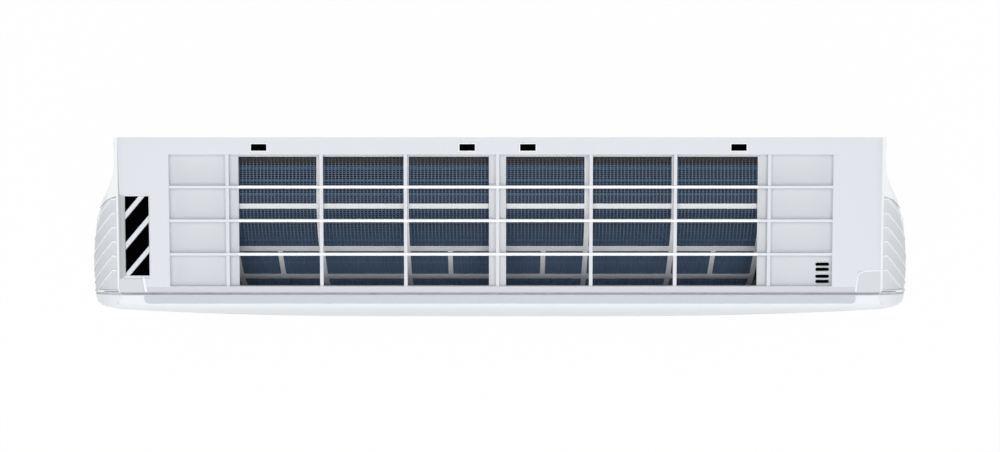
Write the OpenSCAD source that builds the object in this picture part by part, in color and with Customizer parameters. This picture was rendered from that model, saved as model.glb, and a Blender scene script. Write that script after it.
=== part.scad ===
// Wall-mounted indoor unit of a split air conditioner.
// Millimetres. The origin lies on the wall plane, at mid-width and mid-height.
// X runs along the unit, Y points into the wall, Z points up.

/* [Casing] */
// Width at the widest point of the side walls
body_w = 886; // [870:1:910]
// Height of the casing at the wall
body_h = 290; // [286:1:298]
// Depth from the wall to the middle of the front panel
body_d = 192; // [190:1:198]
// Inset of each side wall where it meets the wall
waist_in = 39; // [33:1:41]
// Width of each rounded shoulder, seen from above
shoulder_w = 49; // [45:1:53]
// Height over which a shoulder rounds down to the side wall
shoulder_h = 95; // [85:1:105]
// Fall of the top surface from the wall to the panel seam
top_fall = 14; // [12:0.5:16]
// Thickness of the plastic casing
wall = 2.5; // [2:0.1:3]

/* [Intake grille] */
// Distance of the recess from the left side of the casing
recess_left = 96; // [91:1:103]
// Distance of the recess from the right side of the casing
recess_right = 94; // [89:1:101]
// Distance of the recess from the wall
recess_y0 = 18.5; // [17:0.5:20]
// Length of the recess from back to front
recess_l = 138.5; // [134:0.5:140]
// Depth of the recess floor under the top surface
recess_deep = 9; // [7:0.5:10]
// Thickness of the recess floor
floor_t = 2; // [1.6:0.1:2.4]
// Thickness of a grille bar that runs from back to front
long_bar_w = 3.8; // [3:0.1:4.6]
// Thickness of a grille bar that runs along the unit
cross_bar_w = 3; // [2.4:0.1:3.6]
// Height of the grille bars
bar_h = 6; // [4.5:0.1:6.5]
// Distance of the first cross bar from the wall
cross_bar_y0 = 52.5; // [50:0.1:54]
// Spacing of the cross bars
cross_bar_pitch = 35.4; // [34:0.1:36]

/* [Small vents] */
// Width of a slot near the wall
slot_w = 16.2; // [14:0.1:18]
// Length of a slot near the wall, from back to front
slot_l = 7; // [6:0.1:7.6]
// Width of the bars across the slanted vent window
slant_bar_w = 4.8; // [3.8:0.1:5.4]
// Slope of those bars
slant_angle = 49.5; // [46:0.5:52]
// Spacing of those bars from back to front
slant_pitch = 32; // [30:0.5:34]
// Spacing of the ribs on the shoulder vents
rib_pitch = 15; // [13.5:0.1:15.5]
// Depth of the shoulder vents under the casing surface
vent_deep = 0.9; // [0.7:0.1:1.1]

/* [Front panel] */
// Thickness of the front panel
panel_t = 2.6; // [2.2:0.1:3]
// Distance of the ribbed strip on top of the panel from each side of the casing
strip_in = 69; // [65:1:75]
// Radius of the hinge pins of the panel
hinge_pin_r = 1.6; // [1.4:0.1:1.8]
// Diameter of the on/off button
button_d = 9; // [8:0.2:10]
// Travel of the on/off button
button_travel = 1.2; // [1:0.1:1.5]

/* [Air path] */
// Room between the air duct and each side of the casing
duct_side = 113; // [109:1:118]
// Radius of the cross-flow fan
fan_r = 44; // [42:0.5:45]
// Number of blades around the fan
fan_blades = 30; // [24:1:36]
// Thickness of the fan discs
disc_t = 3; // [2.4:0.1:3.6]
// Radius of the fan shaft
shaft_r = 4; // [3.5:0.1:4.5]
// Radius of the scroll wall behind the fan
scroll_r = 59.2; // [58.6:0.1:60]
// Height of the deflecting vanes
vane_h = 46; // [38:1:48]
// Length of the vanes along the air flow
vane_l = 29; // [26:1:30]
// Distance of the outermost vanes from the cheeks of the duct
vane_side = 44; // [40:1:60]
// Radius of the vane pivots
vane_pin_r = 1.95; // [1.7:0.05:2.2]
// Thickness of the louver
louver_t = 4; // [3:0.1:4.5]
// Radius of the louver pins
louver_pin_r = 2.5; // [2:0.1:3]

/* [Coil] */
// Thickness of a fin pack
fin_pack_t = 22; // [20:0.5:22.5]
// Room between the left end of the coil and the cheek of the duct
coil_left = 1; // [1:1:8]
// Room between the right end of the coil and the cheek of the duct
coil_right = 20; // [18:1:30]
// Radius of the coil tubes
tube_r = 3.5; // [3:0.1:3.9]
// Spacing of the tubes along a fin pack
tube_pitch = 21; // [20:0.5:21.5]
// Thickness of the coil end plates
end_plate_t = 1.2; // [1:0.1:1.6]

/* [Filters] */
// Room between the right filter and the right end of the recess
filter_in = 70.4; // [70:0.1:76]
// Thickness of the filter frame
filter_t = 3; // [2.6:0.1:3.2]
// Width of the filter ribs
filter_rib_w = 5.5; // [4.5:0.1:6.5]

/* [Motor and controls] */
// Radius of the fan motor
motor_r = 42; // [40:0.5:43]
// Length of the fan motor
motor_l = 50; // [46:1:52]
// Thickness of the wall plate
plate_t = 1.5; // [1.2:0.1:1.8]
// Width of the wall plate
plate_w = 560; // [520:2:600]
// Hole radius of the wall plate screw holes
plate_hole_r = 2.6; // [2.4:0.1:3]
// Radius of the gas line
gas_r = 6.35; // [6.35:0.005:6.36]
// Radius of the liquid line
liquid_r = 3.175; // [3.17:0.005:3.18]
// Thickness of the pipe insulation
foam_t = 6; // [5:0.5:7]
// Radius of the drain spout
spout_r = 8; // [7.5:0.1:8.5]

/* [Hidden] */
$fn = 48;
eps = 0.01;
fit = 0.05;
gap = 0.3;
far = 600;

// Heights of the casing
top_z = body_h / 2;
bot_z = -body_h / 2;
// Distance of the casing's front edge from the wall, where the panel seam lies
seam_d = body_d - 28.8;
seam_gap = 1.8;
top_tilt = atan(top_fall / seam_d);
seam_z = top_z - top_fall;
// Gap between the casing's back edge and the wall
back_gap = 0.5;
// Plan outline of the side walls, as distances from the wall and half widths
waist_d = 26;
waist_w = body_w - 2 * waist_in;
top_w = body_w - 2 * shoulder_w;
flare_x = body_w / 2 - 12;
flare_d = 91;
widest_d = body_d - 58;
corner_x = body_w / 2 - 9.2;
corner_d = seam_d + seam_gap;
bow_x = body_w / 2 - 58;
bow = 10.3;
bow_power = 2.3;
// The ledge under the panel and the slanted mouth of the air outlet
chin_z = bot_z + 46;
chin_d = body_d - 10;
mouth_front_d = body_d - 16;
mouth_front_z = bot_z + 38;
mouth_back_d = 96;
// Lower lip of the duct, its slope, and the fan axis
lip_d = 93;
lip_z = bot_z + 4;
duct_angle = 50;
duct_x = body_w / 2 - duct_side;
coil_x0 = -duct_x + coil_left;
coil_x1 = duct_x - coil_right;
cheek_t = 4;
sheet = 3;
fan_y = -80;
fan_z = bot_z + 133;
scroll_s = 95;
// Louver pivot
flap_y = -112;
flap_z = bot_z + 21;
flap_back_y = -99.5;
flap_back_z = bot_z + 2;
flap_front_y = -mouth_front_d + 2.5;
flap_front_z = mouth_front_z - 0.8;
flap_half = duct_x - 2;
flap_r = 260;
// Chassis back
back_y = -7;
back_t = 3;
back_z0 = bot_z + 67;
back_z1 = top_z - 27;
base_z = bot_z + wall;
chassis_half = waist_w / 2 - 8;

function bez(a, b, c, d, n) = [for (i = [0:n - 1]) let (t = i / n)
    a * pow(1 - t, 3) + 3 * b * t * pow(1 - t, 2) + 3 * c * t * t * (1 - t) + d * pow(t, 3)];
function flip(p) = [for (i = [len(p) - 1:-1:0]) [-p[i][0], p[i][1]]];
function bow_y(x) = -body_d + bow * pow(abs(x) / bow_x, bow_power);

// Half of the plan outline, from the wall round the side to the middle of the front
function side_half() = concat(
    [[waist_w / 2 + 1, 0]],
    bez([waist_w / 2, -waist_d], [waist_w / 2, -50], [flare_x - 4, -72], [flare_x, -flare_d], 7),
    bez([flare_x, -flare_d], [flare_x + 2, -103], [body_w / 2 - 3, -118],
        [body_w / 2, -widest_d], 5),
    bez([body_w / 2, -widest_d], [body_w / 2 + 0.5, -widest_d - 11], [corner_x + 4, -corner_d + 8],
        [corner_x, -corner_d], 5));
function corner_half() = bez([corner_x, -corner_d], [corner_x - 2, -corner_d - 11],
    [corner_x - 11.8, -corner_d - 14.3], [bow_x, bow_y(bow_x)], 6);
function front_half() = [for (x = [bow_x:-35:20]) [x, bow_y(x)]];
function plan_half() = concat(side_half(), corner_half(), front_half());

module plan(e) {
    right = plan_half();
    back = e > 0 ? 5 : -back_gap;
    inner = [for (p = right) [max(p[0] - e, 0.1), p[1] > -1 ? back : p[1] + e]];
    polygon(concat(inner, [[0, -body_d + e]], flip(inner)));
}

// Front outline in the tilted frame of the top surface
module shoulders(e) {
    a = body_w / 2 - top_w / 2;
    arc = [for (t = [0:7.5:90])
        [top_w / 2 - e + a * sin(t), -e - (shoulder_h - e) * (1 - cos(t))]];
    half = concat(arc, [[body_w / 2 + 4 - e, -body_h - 40]]);
    polygon(concat(half, flip(half)));
}

module side_outline(e) {
    back = e > 0 ? 5 : -back_gap;
    polygon([[back, top_z + 20], [-seam_d + e, top_z + 20], [-seam_d + e, chin_z - e],
        [-chin_d + e, chin_z - e], [-chin_d + e, chin_z - 4],
        [-mouth_front_d + e, mouth_front_z + e / 2],
        [-mouth_back_d, bot_z + e], [back, bot_z + e]]);
}

// Profiles drawn in depth and height, run along X
module along_x(x0, x1) {
    translate([x0, 0, 0]) rotate([90, 0, 90]) linear_extrude(x1 - x0) children();
}

module on_top() {
    translate([0, 0, top_z]) rotate([top_tilt, 0, 0]) children();
}

module envelope(e) {
    intersection() {
        translate([0, 0, bot_z - 5]) linear_extrude(body_h + 10) plan(e);
        on_top() rotate([90, 0, 0]) translate([0, 0, -20]) linear_extrude(body_d + 40) shoulders(e);
        along_x(-far, far) side_outline(e);
    }
}

module skin(outer, inner) {
    difference() {
        envelope(outer);
        envelope(inner);
    }
}

// Box given by its lowest and highest corners
module block(a, b) {
    translate(a) cube(b - a);
}

// Intake recess
window_y0 = 21;
window_l = recess_y0 + recess_l - window_y0;
recess_x0 = -body_w / 2 + recess_left;
recess_x1 = body_w / 2 - recess_right;
windows = [[recess_x0 + 72, -11.7], [6.4, recess_x1 - 78]];
bar_mid = -1.8;
bar_steps = [97.3, 185.7, 284.3];
bars_x = concat([for (s = bar_steps) bar_mid - s], [bar_mid - 0.8],
    [for (s = bar_steps) bar_mid + s]);
slots_x = [-252.4, -34.3, 29.2, 249.9];
slot_y = -10.9;
slant_x0 = -body_w / 2 + 49.5;
slant_x1 = slant_x0 + 24.8;
slant_y0 = -62.2;
slant_y1 = -145.8;
slant_mid_y = -100.2;
small_slots_y = [-134.6, -140, -147.4, -152.9];
small_slot_x = recess_x1 - 8.7;
small_slot_w = 14.6;
small_slot_l = 3.5;
vent_x = body_w / 2 - 40;
vent_y0 = -62;
vent_y1 = -160.5;
vent_low = 74;
band_z = seam_z - 15;
hinge_y = -seam_d - 6.4;
hinge_z = seam_z - 6.6;
hinge_x = body_w / 2 - 63;
hinge_boss_r = 2.9;
// Thickness left at the casing's front edge, over the room in which the panel swings
lip_t = 1.2;

module recess_space() {
    on_top() block([recess_x0, -recess_y0 - recess_l, -recess_deep], [recess_x1, -recess_y0, 5]);
}

module recess_tray() {
    difference() {
        on_top() block([recess_x0 - floor_t, -recess_y0 - recess_l - floor_t, -recess_deep - floor_t],
            [recess_x1 + floor_t, -recess_y0 + floor_t, -1]);
        recess_space();
        for (w = windows)
            on_top() block([w[0], -window_y0 - window_l, -recess_deep - 5], [w[1], -window_y0, 0]);
        small_slots(0);
    }
    small_slot_lips();
}

module small_slots(grow) {
    for (y = small_slots_y)
        on_top() translate([small_slot_x, y, -recess_deep - 5])
            stadium(small_slot_w + grow, small_slot_l + grow, 12);
}

module stadium(w, l, h) {
    linear_extrude(h) {
        square([w - l, l], center = true);
        for (s = [-1, 1]) translate([s * (w - l) / 2, 0]) circle(d = l);
    }
}

module small_slot_lips() {
    rim = 1.4;
    difference() {
        for (y = small_slots_y)
            on_top() translate([small_slot_x, y, -recess_deep - 0.5])
                stadium(small_slot_w + rim, small_slot_l + rim, 1.1);
        small_slots(0);
    }
}

module grille_bars() {
    for (x = bars_x)
        on_top() block([x - long_bar_w / 2, -recess_y0 - recess_l - 1, -1.5 - bar_h],
            [x + long_bar_w / 2, -recess_y0 + 1, -1.5]);
    for (i = [0:2])
        on_top() translate([0, -cross_bar_y0 - i * cross_bar_pitch, 0])
            block([recess_x0 - 1, -cross_bar_w / 2, -1 - bar_h], [recess_x1 + 1, cross_bar_w / 2, -1]);
    // The strip of floor between the two windows carries the middle bar
    on_top() block([bar_mid - 0.8 - long_bar_w / 2, -recess_y0 - recess_l - 1, -recess_deep - 1],
        [bar_mid - 0.8 + long_bar_w / 2, -recess_y0 + 1, -1.5]);
}

// Slots near the wall, each with a thin raised rim
module wall_slots() {
    for (x = slots_x)
        on_top() translate([x, slot_y, 0])
            block([-slot_w / 2, -slot_l / 2, -12], [slot_w / 2, slot_l / 2, 2]);
}

module wall_slot_rims() {
    rim = 1.3;
    for (x = slots_x)
        on_top() translate([x, slot_y, 0])
            block([-slot_w / 2 - rim, -slot_l / 2 - rim, -1], [slot_w / 2 + rim, slot_l / 2 + rim, 0.5]);
}

// Window with slanted bars at the left end of the top
module slant_window() {
    difference() {
        on_top() block([slant_x0, slant_y1, -12], [slant_x1, slant_y0, 5]);
        slant_bars();
    }
    on_top() block([slant_x0 - 5, slant_y1 - 3, -1.2], [slant_x1 + 1, slant_y0 + 2, 5]);
}

module slant_bars() {
    mid = [(slant_x0 + slant_x1) / 2, slant_mid_y];
    for (i = [-1:1])
        on_top() translate([mid[0], mid[1] + i * slant_pitch, -7]) rotate([0, 0, slant_angle])
            block([-40, -slant_bar_w / 2, 0], [40, slant_bar_w / 2, 5.6]);
}

// Lowered patches in the front corners of the top
module corner_patches() {
    deep = 0.7;
    out = body_w / 2 - 41;
    on_top() block([out - 26, -seam_d - 5, -deep], [out, -seam_d + 22.2, 5]);
    on_top() block([-out, -seam_d - 5, -deep], [-out + 27, -seam_d + 15.2, 5]);
}

// Region of a shoulder vent, seen from above
module vent_region(shrink) {
    translate([0, 0, top_z - top_fall / 2 - vent_low]) linear_extrude(200) polygon([
        [vent_x + shrink, vent_y0 - 2 * shrink], [vent_x + shrink, vent_y1 + shrink],
        [body_w / 2 + 20, vent_y1 + shrink], [body_w / 2 + 20, -100],
        [vent_x + 25, -78 - shrink], [vent_x + 12, -66 - shrink]]);
}

module vent_ribs() {
    for (i = [0:5]) {
        y = vent_y0 - 2 - i * rib_pitch;
        linear_extrude(top_z) polygon([[vent_x, y], [vent_x + 5, y], [vent_x + 40, y - 35],
            [vent_x + 40, y - 36.6], [vent_x + 4.5, y - 1.1], [vent_x, y - 1.1]]);
    }
}

module side_vent_right() {
    color("gainsboro") {
        intersection() {
            skin(vent_deep, wall);
            vent_region(0.25);
        }
        intersection() {
            skin(0.1, vent_deep + eps);
            vent_region(0.25);
            vent_ribs();
        }
    }
}

module side_vent_left() {
    mirror([1, 0, 0]) side_vent_right();
}

// Opening behind the front panel, through which the filters are drawn out
module front_opening() {
    half = duct_x + 16;
    block([-half, -seam_d - 2, chin_z + 14], [half, -seam_d + 8, band_z - 8]);
    // Room for the edge of the panel when it swings up
    block([-far, -seam_d - 2, band_z], [far, -seam_d + 1.6, seam_z - lip_t]);
}

// Open knock-out in the left side wall, through which pipes may leave sideways
module pipe_knockout() {
    block([-far, -52, bot_z + 7], [-waist_w / 2 + 20, -8, bot_z + 65]);
}

// The drain pan's nose lies under the ledge; the casing follows it at a small gap
pan_front = -seam_d + 5.2;
nose_a = [pan_front, mouth_front_z + 19];
nose_b = [-mouth_front_d + 4, mouth_front_z + 6.5];
nose_nrm = [nose_b[1] - nose_a[1], nose_a[0] - nose_b[0]] / norm(nose_b - nose_a);
mouth_half = duct_x + cheek_t + gap;

module mouth_opening() {
    along_x(-mouth_half, mouth_half) polygon([[-mouth_back_d - 1, bot_z - 5],
        [-mouth_back_d - 1, bot_z + 10], nose_a + gap * nose_nrm + [8, 0], nose_a + gap * nose_nrm,
        nose_b + gap * nose_nrm, [-mouth_front_d + 1.5, mouth_front_z + 0.5],
        [-mouth_front_d - 5, mouth_front_z - 5], [-mouth_front_d - 5, bot_z - 5]]);
}

module nose_wall() {
    along_x(-mouth_half - wall, mouth_half + wall) polygon([
        nose_a + (gap + wall) * nose_nrm + [0, 2], nose_a + gap * nose_nrm + [0, 2],
        nose_b + gap * nose_nrm, nose_b + (gap + wall) * nose_nrm]);
}

// Bosses that take the three casing screws, and the brackets of the panel hinge
screw_x = [-260, 0, 260];
screw_y = -60;
cap_r = 5;

module hinge_bracket(x) {
    along_x(x - 1.5, x + 1.5) {
        translate([hinge_y, hinge_z]) circle(r = hinge_boss_r);
        polygon([[hinge_y - hinge_boss_r, hinge_z], [hinge_y - 2, hinge_z - 8],
            [-seam_d + 1, band_z - 10], [-seam_d + 1, band_z - 0.2], [-seam_d - 1, band_z],
            [hinge_y + 1.5, hinge_z - 2]]);
    }
}

module front_frame() {
    color("whitesmoke") difference() {
        union() {
            difference() {
                skin(0, wall);
                recess_space();
            }
            recess_tray();
            grille_bars();
            wall_slot_rims();
            intersection() {
                envelope(0.2);
                slant_bars();
            }
            for (s = [-1, 1]) hinge_bracket(s * hinge_x);
            nose_wall();
        }
        wall_slots();
        slant_window();
        corner_patches();
        front_opening();
        pipe_knockout();
        mouth_opening();
        vent_region(0);
        mirror([1, 0, 0]) vent_region(0);
        for (s = [-1, 1])
            translate([s * hinge_x, hinge_y, hinge_z]) rotate([0, 90, 0])
                cylinder(r = hinge_pin_r + fit, h = 10, center = true);
        // Button and receiver openings
        translate([button_x, -seam_d + 5, button_z]) rotate([90, 0, 0])
            cylinder(d = button_d + gap, h = 10);
        block([receiver_x - 6, -seam_d - 2, button_z - 6],
            [receiver_x + 6, -seam_d + 4, button_z + 6]);
        for (x = screw_x) {
            translate([x, screw_y, bot_z - 1]) cylinder(r = cap_r + 0.1, h = wall);
            translate([x, screw_y, bot_z - 1]) cylinder(r = 2.2, h = 10);
        }
    }
}

// Front panel, a bowed tray with a narrow flange on top
button_x = body_w / 2 - 53;
receiver_x = button_x + 22;
button_z = bot_z + 85;
flange_z = seam_z - 0.3;
flange_y = -seam_d - 11.3;
panel_low = chin_z + 2;
panel_mid_z = bot_z + 190;
// Back edge of the lip along the panel's lower edge
lip_back = -mouth_front_d;

function panel_profile(e) = concat(
    [[-corner_d + (e > 0 ? 5 : 0), flange_z - 0.8 - e], [-corner_d - 0.8, flange_z - e],
        [-corner_d - 5, flange_z - 0.35 - e]],
    bez([flange_y, flange_z - 0.75 - e], [-body_d + 9 + e, flange_z - 1.5 - e],
        [-body_d + 2 + e, flange_z - 20 - e], [-body_d + e, panel_mid_z], 9),
    bez([-body_d + e, panel_mid_z], [-body_d + e, panel_mid_z - 50],
        [-body_d + 2.5 + e, panel_mid_z - 100], [-body_d + 7.5 + e, panel_low], 6),
    [[-body_d + 7.5 + e, panel_low + e]],
    e > 0 ? [[lip_back, panel_low + e], [lip_back, panel_low - 5]] : [],
    [[-corner_d + (e > 0 ? 5 : 0), panel_low - (e > 0 ? 5 : 0)]]);

// Solid shape of the panel, set in by e all round and open to the back when e is not zero
module panel_form(e) {
    intersection() {
        translate([0, 0, bot_z]) linear_extrude(body_h + 10) plan(e);
        translate([0, 0, seam_z]) rotate([90, 0, 0]) linear_extrude(body_d + 40) shoulders(e);
        along_x(-far, far) polygon(panel_profile(e));
    }
}

module front_panel() {
    color("white") difference() {
        panel_form(0);
        panel_form(panel_t);
    }
}

// Strip laid on the flange of the panel
strip_l = 7.8;
strip_t = 0.6;
strip_tilt = 4.2;
module panel_top_strip() {
    color("lavender") translate([0, -corner_d - 1.5, flange_z + 0.02]) rotate([strip_tilt, 0, 0])
        translate([0, -strip_l / 2, 0]) linear_extrude(strip_t)
            square([body_w - 2 * strip_in, strip_l], center = true);
}

// Hinge arms under the flange, with the pins that turn in the casing
hinge_arm_w = 5.2;
hinge_arm_t = 4;
module panel_hinges() {
    color("white") for (s = [-1, 1]) {
        x = s * (hinge_x + 5);
        along_x(x - hinge_arm_t / 2, x + hinge_arm_t / 2)
            translate([hinge_y, hinge_z]) circle(d = hinge_arm_w);
        intersection() {
            block([x - hinge_arm_t / 2, hinge_y - hinge_arm_w / 2, hinge_z],
                [x + hinge_arm_t / 2, hinge_y + hinge_arm_w / 2, seam_z]);
            panel_form(panel_t);
        }
        translate([s * (hinge_x + 1), hinge_y, hinge_z]) rotate([0, 90, 0])
            cylinder(r = hinge_pin_r, h = 6, center = true);
    }
}

// On/off button: a cap that stands proud of the casing, a collar behind the wall and a stem
button_out = 2;
collar_t = 0.8;
module power_button() {
    color("silver") translate([button_x, -seam_d, button_z]) rotate([-90, 0, 0]) {
        translate([0, 0, -button_out]) cylinder(d = button_d, h = button_out + wall + collar_t + 0.2);
        translate([0, 0, wall + 0.2]) cylinder(d = button_d + 2, h = collar_t);
        translate([0, 0, wall])
            cylinder(d = button_d / 3, h = board_gap - switch_h - button_travel - gap / 2);
    }
}

// Board with the receiver and the switch behind the button
board_gap = 7;
switch_h = 1.1;
post_r = 2.5;
module display_board() {
    y = -seam_d + wall + board_gap;
    color("seagreen") {
        block([button_x - 16, y, button_z - 18], [receiver_x + 10, y + 1.6, button_z + 18]);
        block([button_x - 3, y - switch_h, button_z - 3], [button_x + 3, y + 0.1, button_z + 3]);
        block([receiver_x - 5, y - board_gap - 0.5, button_z - 5],
            [receiver_x + 5, y + 0.1, button_z + 5]);
        // Posts that hold the board to the casing
        for (z = [-15, 15])
            translate([button_x + 11, y + 0.1, button_z + z]) rotate([90, 0, 0])
                cylinder(r = post_r, h = board_gap + 0.1);
    }
}

// Scroll and duct, in depth and height
lip = [-lip_d, lip_z];
up_dir = [cos(duct_angle), sin(duct_angle)];
up_nrm = [-sin(duct_angle), cos(duct_angle)];
function in_duct(s, n) = lip + s * up_dir + n * up_nrm;
scroll_q = in_duct(scroll_s, 0);
scroll_c = in_duct(scroll_s, scroll_r);
scroll_lip_a = 46.8;
// Length over which the duct wall and the scroll wall overlap past their tangent point
join = 3;
scroll_lip = scroll_c + scroll_r * [cos(scroll_lip_a), sin(scroll_lip_a)];
tongue = [fan_y - 35.5, fan_z - 34.5];
upper_lip = [-170, mouth_front_z + 4];

module on_duct() {
    translate([0, lip[0], lip[1]]) rotate([duct_angle, 0, 0]) children();
}

module scroll_section() {
    intersection() {
        difference() {
            translate(scroll_c) circle(r = scroll_r + sheet, $fn = 96);
            translate(scroll_c) circle(r = scroll_r, $fn = 96);
        }
        reach = 3 * scroll_r;
        polygon([scroll_c + join * up_dir, scroll_c + reach * [cos(scroll_lip_a), sin(scroll_lip_a)],
            scroll_c + [reach, 0], scroll_c + join * up_dir - reach * up_nrm]);
    }
}

module chassis_section() {
    scroll_section();
    // Lower wall of the duct, which runs into the scroll where they are tangent
    polygon([in_duct(0, 0), in_duct(scroll_s + join + 1, 0), in_duct(scroll_s + join + 1, 0.5 - sheet),
        in_duct(scroll_s + join - 1, -sheet), in_duct(1.5, -sheet)]);
    // Bottom flange
    polygon([in_duct(0, 0), in_duct(4, -sheet), [-lip_d + 8, base_z + sheet], [back_y, base_z + sheet],
        [back_y, base_z], [-lip_d - 1, base_z]]);
    // Back wall, drip trough behind the fan, and the roof of the pipe channel
    polygon([[back_y - back_t, back_z0], [back_y, back_z0], [back_y, back_z1],
        [back_y - back_t, back_z1]]);
    trough_z = scroll_lip[1] + 4;
    polygon([scroll_lip + [-1, -1], scroll_lip + [2.5, -1], [scroll_lip[0] + 2.5, trough_z],
        [back_y - 1, trough_z], [back_y - 1, trough_z + sheet], [scroll_lip[0] + 2.5, trough_z + sheet],
        [scroll_lip[0] + 1.5, trough_z + 10], [scroll_lip[0] - 1, trough_z + 10]]);
    polygon([[scroll_q[0] - 4, back_z0 + sheet], [back_y - 1, back_z0],
        [back_y - 1, back_z0 + sheet], [scroll_q[0] + 6, back_z0 + 2 * sheet]]);
}

module cheek_section() {
    difference() {
        polygon([scroll_lip + [1, 1.5], [fan_y + 20, fan_z + fan_r + 4],
            [fan_y - 20, fan_z + fan_r + 4], [fan_y - fan_r - 2, fan_z + 26],
            [fan_y - fan_r - 2, fan_z - 36], tongue + [1, -2.5], upper_lip + [0, -1],
            in_duct(-4, 12), in_duct(0, -sheet / 2), in_duct(scroll_s, -sheet / 2),
            for (a = [-10, 25]) scroll_c + (scroll_r + sheet / 2) * [cos(a), sin(a)]]);
        translate([flap_y, flap_z]) circle(r = louver_pin_r + fit);
    }
}

motor_x0 = duct_x + cheek_t + 8;
holder_r = 16;
cradle_x0 = duct_x + cheek_t - eps;
cradle_x1 = cradle_x0 + motor_l + 6;
cradle_top = 20;
cradle_low = 56;

module chassis() {
    color("darkgray") difference() {
        union() {
            along_x(-duct_x - cheek_t, duct_x + cheek_t) chassis_section();
            for (x = [-duct_x - cheek_t, duct_x]) along_x(x, x + cheek_t) cheek_section();
            // Back wall and bottom flange run on past the duct
            for (s = [-1, 1]) {
                mid = s * (chassis_half + duct_x) / 2;
                half = (chassis_half - duct_x) / 2;
                block([mid - half, back_y - back_t, back_z0], [mid + half, back_y, back_z1]);
                block([mid - half, -lip_d + 8, base_z], [mid + half, back_y, base_z + sheet]);
            }
            // Cradle under the fan motor, braced to the back wall
            difference() {
                block([cradle_x0, fan_y - 48, fan_z - cradle_low],
                    [cradle_x1, fan_y + 46, fan_z - cradle_top]);
                along_x(cradle_x0 - 1, far) translate([fan_y, fan_z]) circle(r = motor_r + 3, $fn = 96);
                block([cradle_x0 - 1, fan_y + 38, fan_z - far], [liquid_turn + 6, far, far]);
            }
            block([cradle_x1 - 8, fan_y + 44, fan_z - cradle_low],
                [cradle_x1, back_y - 1, fan_z - cradle_top - 4]);
        }
        // Seat of the bearing holder, and the passage of the motor shaft
        for (h = [[-1, holder_r + fit], [1, holder_r - 2]])
            translate([h[0] * (duct_x + cheek_t / 2), fan_y, fan_z]) rotate([0, 90, 0])
                cylinder(r = h[1], h = cheek_t + 2, center = true);
        // Holes for the vane pivots
        for (s = [-1, 1]) for (i = [0:4])
            on_duct() translate([s * vane_x(i), vane_pivot_s, 0])
                cylinder(r = vane_pin_r + fit, h = 20, center = true);
        for (x = screw_x) translate([x, screw_y, base_z - 1]) cylinder(r = 1.5 + fit, h = 10);
    }
}

// Vanes and the bars that link them
vane_x0 = 38;
vane_pitch = (duct_x - vane_side - vane_x0) / 4;
function vane_x(i) = vane_x0 + i * vane_pitch;
vane_pivot_s = 50;
vane_ahead = 8;
crank = 12;
link_z = 8;
link_s = vane_pivot_s - crank + 0.8;
link_pin_r = 0.9;
notch_half = 5.2;

module vane(x, driven) {
    color("silver") on_duct() translate([x, vane_pivot_s, 0]) {
        translate([0, 0, driven ? -9 : -sheet]) cylinder(r = vane_pin_r, h = (driven ? 9 : sheet) + 3);
        translate([0, 0, 0.3]) cylinder(r = 4, h = 2.7);
        difference() {
            rotate([90, 0, 90]) translate([0, 0, -0.8]) linear_extrude(1.6)
                polygon([[vane_ahead, 1.5], [vane_ahead, vane_h - 8], [vane_ahead - 6, vane_h],
                    [vane_ahead - vane_l + 5, vane_h], [vane_ahead - vane_l, vane_h - 6],
                    [vane_ahead - vane_l, 1.5]]);
            block([-2, -crank - notch_half, link_z - 2], [2, -crank + notch_half, link_z + 4]);
        }
        translate([0, -crank, link_z - 2.5]) cylinder(r = link_pin_r, h = 7);
    }
}

module link(s) {
    color("dimgray") on_duct() difference() {
        mid = s * (vane_x(0) + vane_x(4)) / 2;
        half = 2 * vane_pitch + 8;
        translate([0, link_s - 3, link_z]) block([mid - half, 0, 0], [mid + half, 6, 2]);
        for (i = [0:4]) translate([s * vane_x(i), link_s, link_z - 1]) linear_extrude(4)
            square([2 * link_pin_r + 0.5, 2 * link_pin_r + 2], center = true);
    }
}

module link_left() { link(-1); }
module link_right() { link(1); }
module vane_left_1() { vane(-vane_x(0), false); }
module vane_left_2() { vane(-vane_x(1), false); }
module vane_left_3() { vane(-vane_x(2), false); }
module vane_left_4() { vane(-vane_x(3), false); }
module vane_left_5() { vane(-vane_x(4), true); }
module vane_right_1() { vane(vane_x(0), false); }
module vane_right_2() { vane(vane_x(1), false); }
module vane_right_3() { vane(vane_x(2), false); }
module vane_right_4() { vane(vane_x(3), false); }
module vane_right_5() { vane(vane_x(4), true); }

// Motors under the duct wall that turn the outer vanes
module vane_motors() {
    color("lightgray") for (s = [-1, 1])
        on_duct() translate([s * vane_x(4), vane_pivot_s, 0]) difference() {
            union() {
                translate([0, 0, -sheet - 16]) cylinder(r = 12, h = 16);
                for (q = [-1, 1]) translate([q * 15, 0, -sheet - 1]) cylinder(r = 4, h = 1);
                block([-15, -4, -sheet - 1], [15, 4, -sheet]);
            }
            translate([0, 0, -12]) cylinder(r = vane_pin_r + fit, h = 20);
        }
}

// Louver that closes the air outlet
module flap_section() {
    a = [flap_back_y, flap_back_z];
    b = [flap_front_y, flap_front_z];
    c = b - a;
    span = norm(c);
    inward = [-c[1], c[0]] / span;
    towards = inward[1] > 0 ? inward : -inward;
    centre = (a + b) / 2 + towards * sqrt(flap_r * flap_r - span * span / 4);
    intersection() {
        difference() {
            translate(centre) circle(r = flap_r, $fn = 200);
            translate(centre) circle(r = flap_r - louver_t, $fn = 200);
        }
        polygon([centre, centre + (a - centre) * 1.1, centre + (b - centre) * 1.1]);
    }
}

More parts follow.
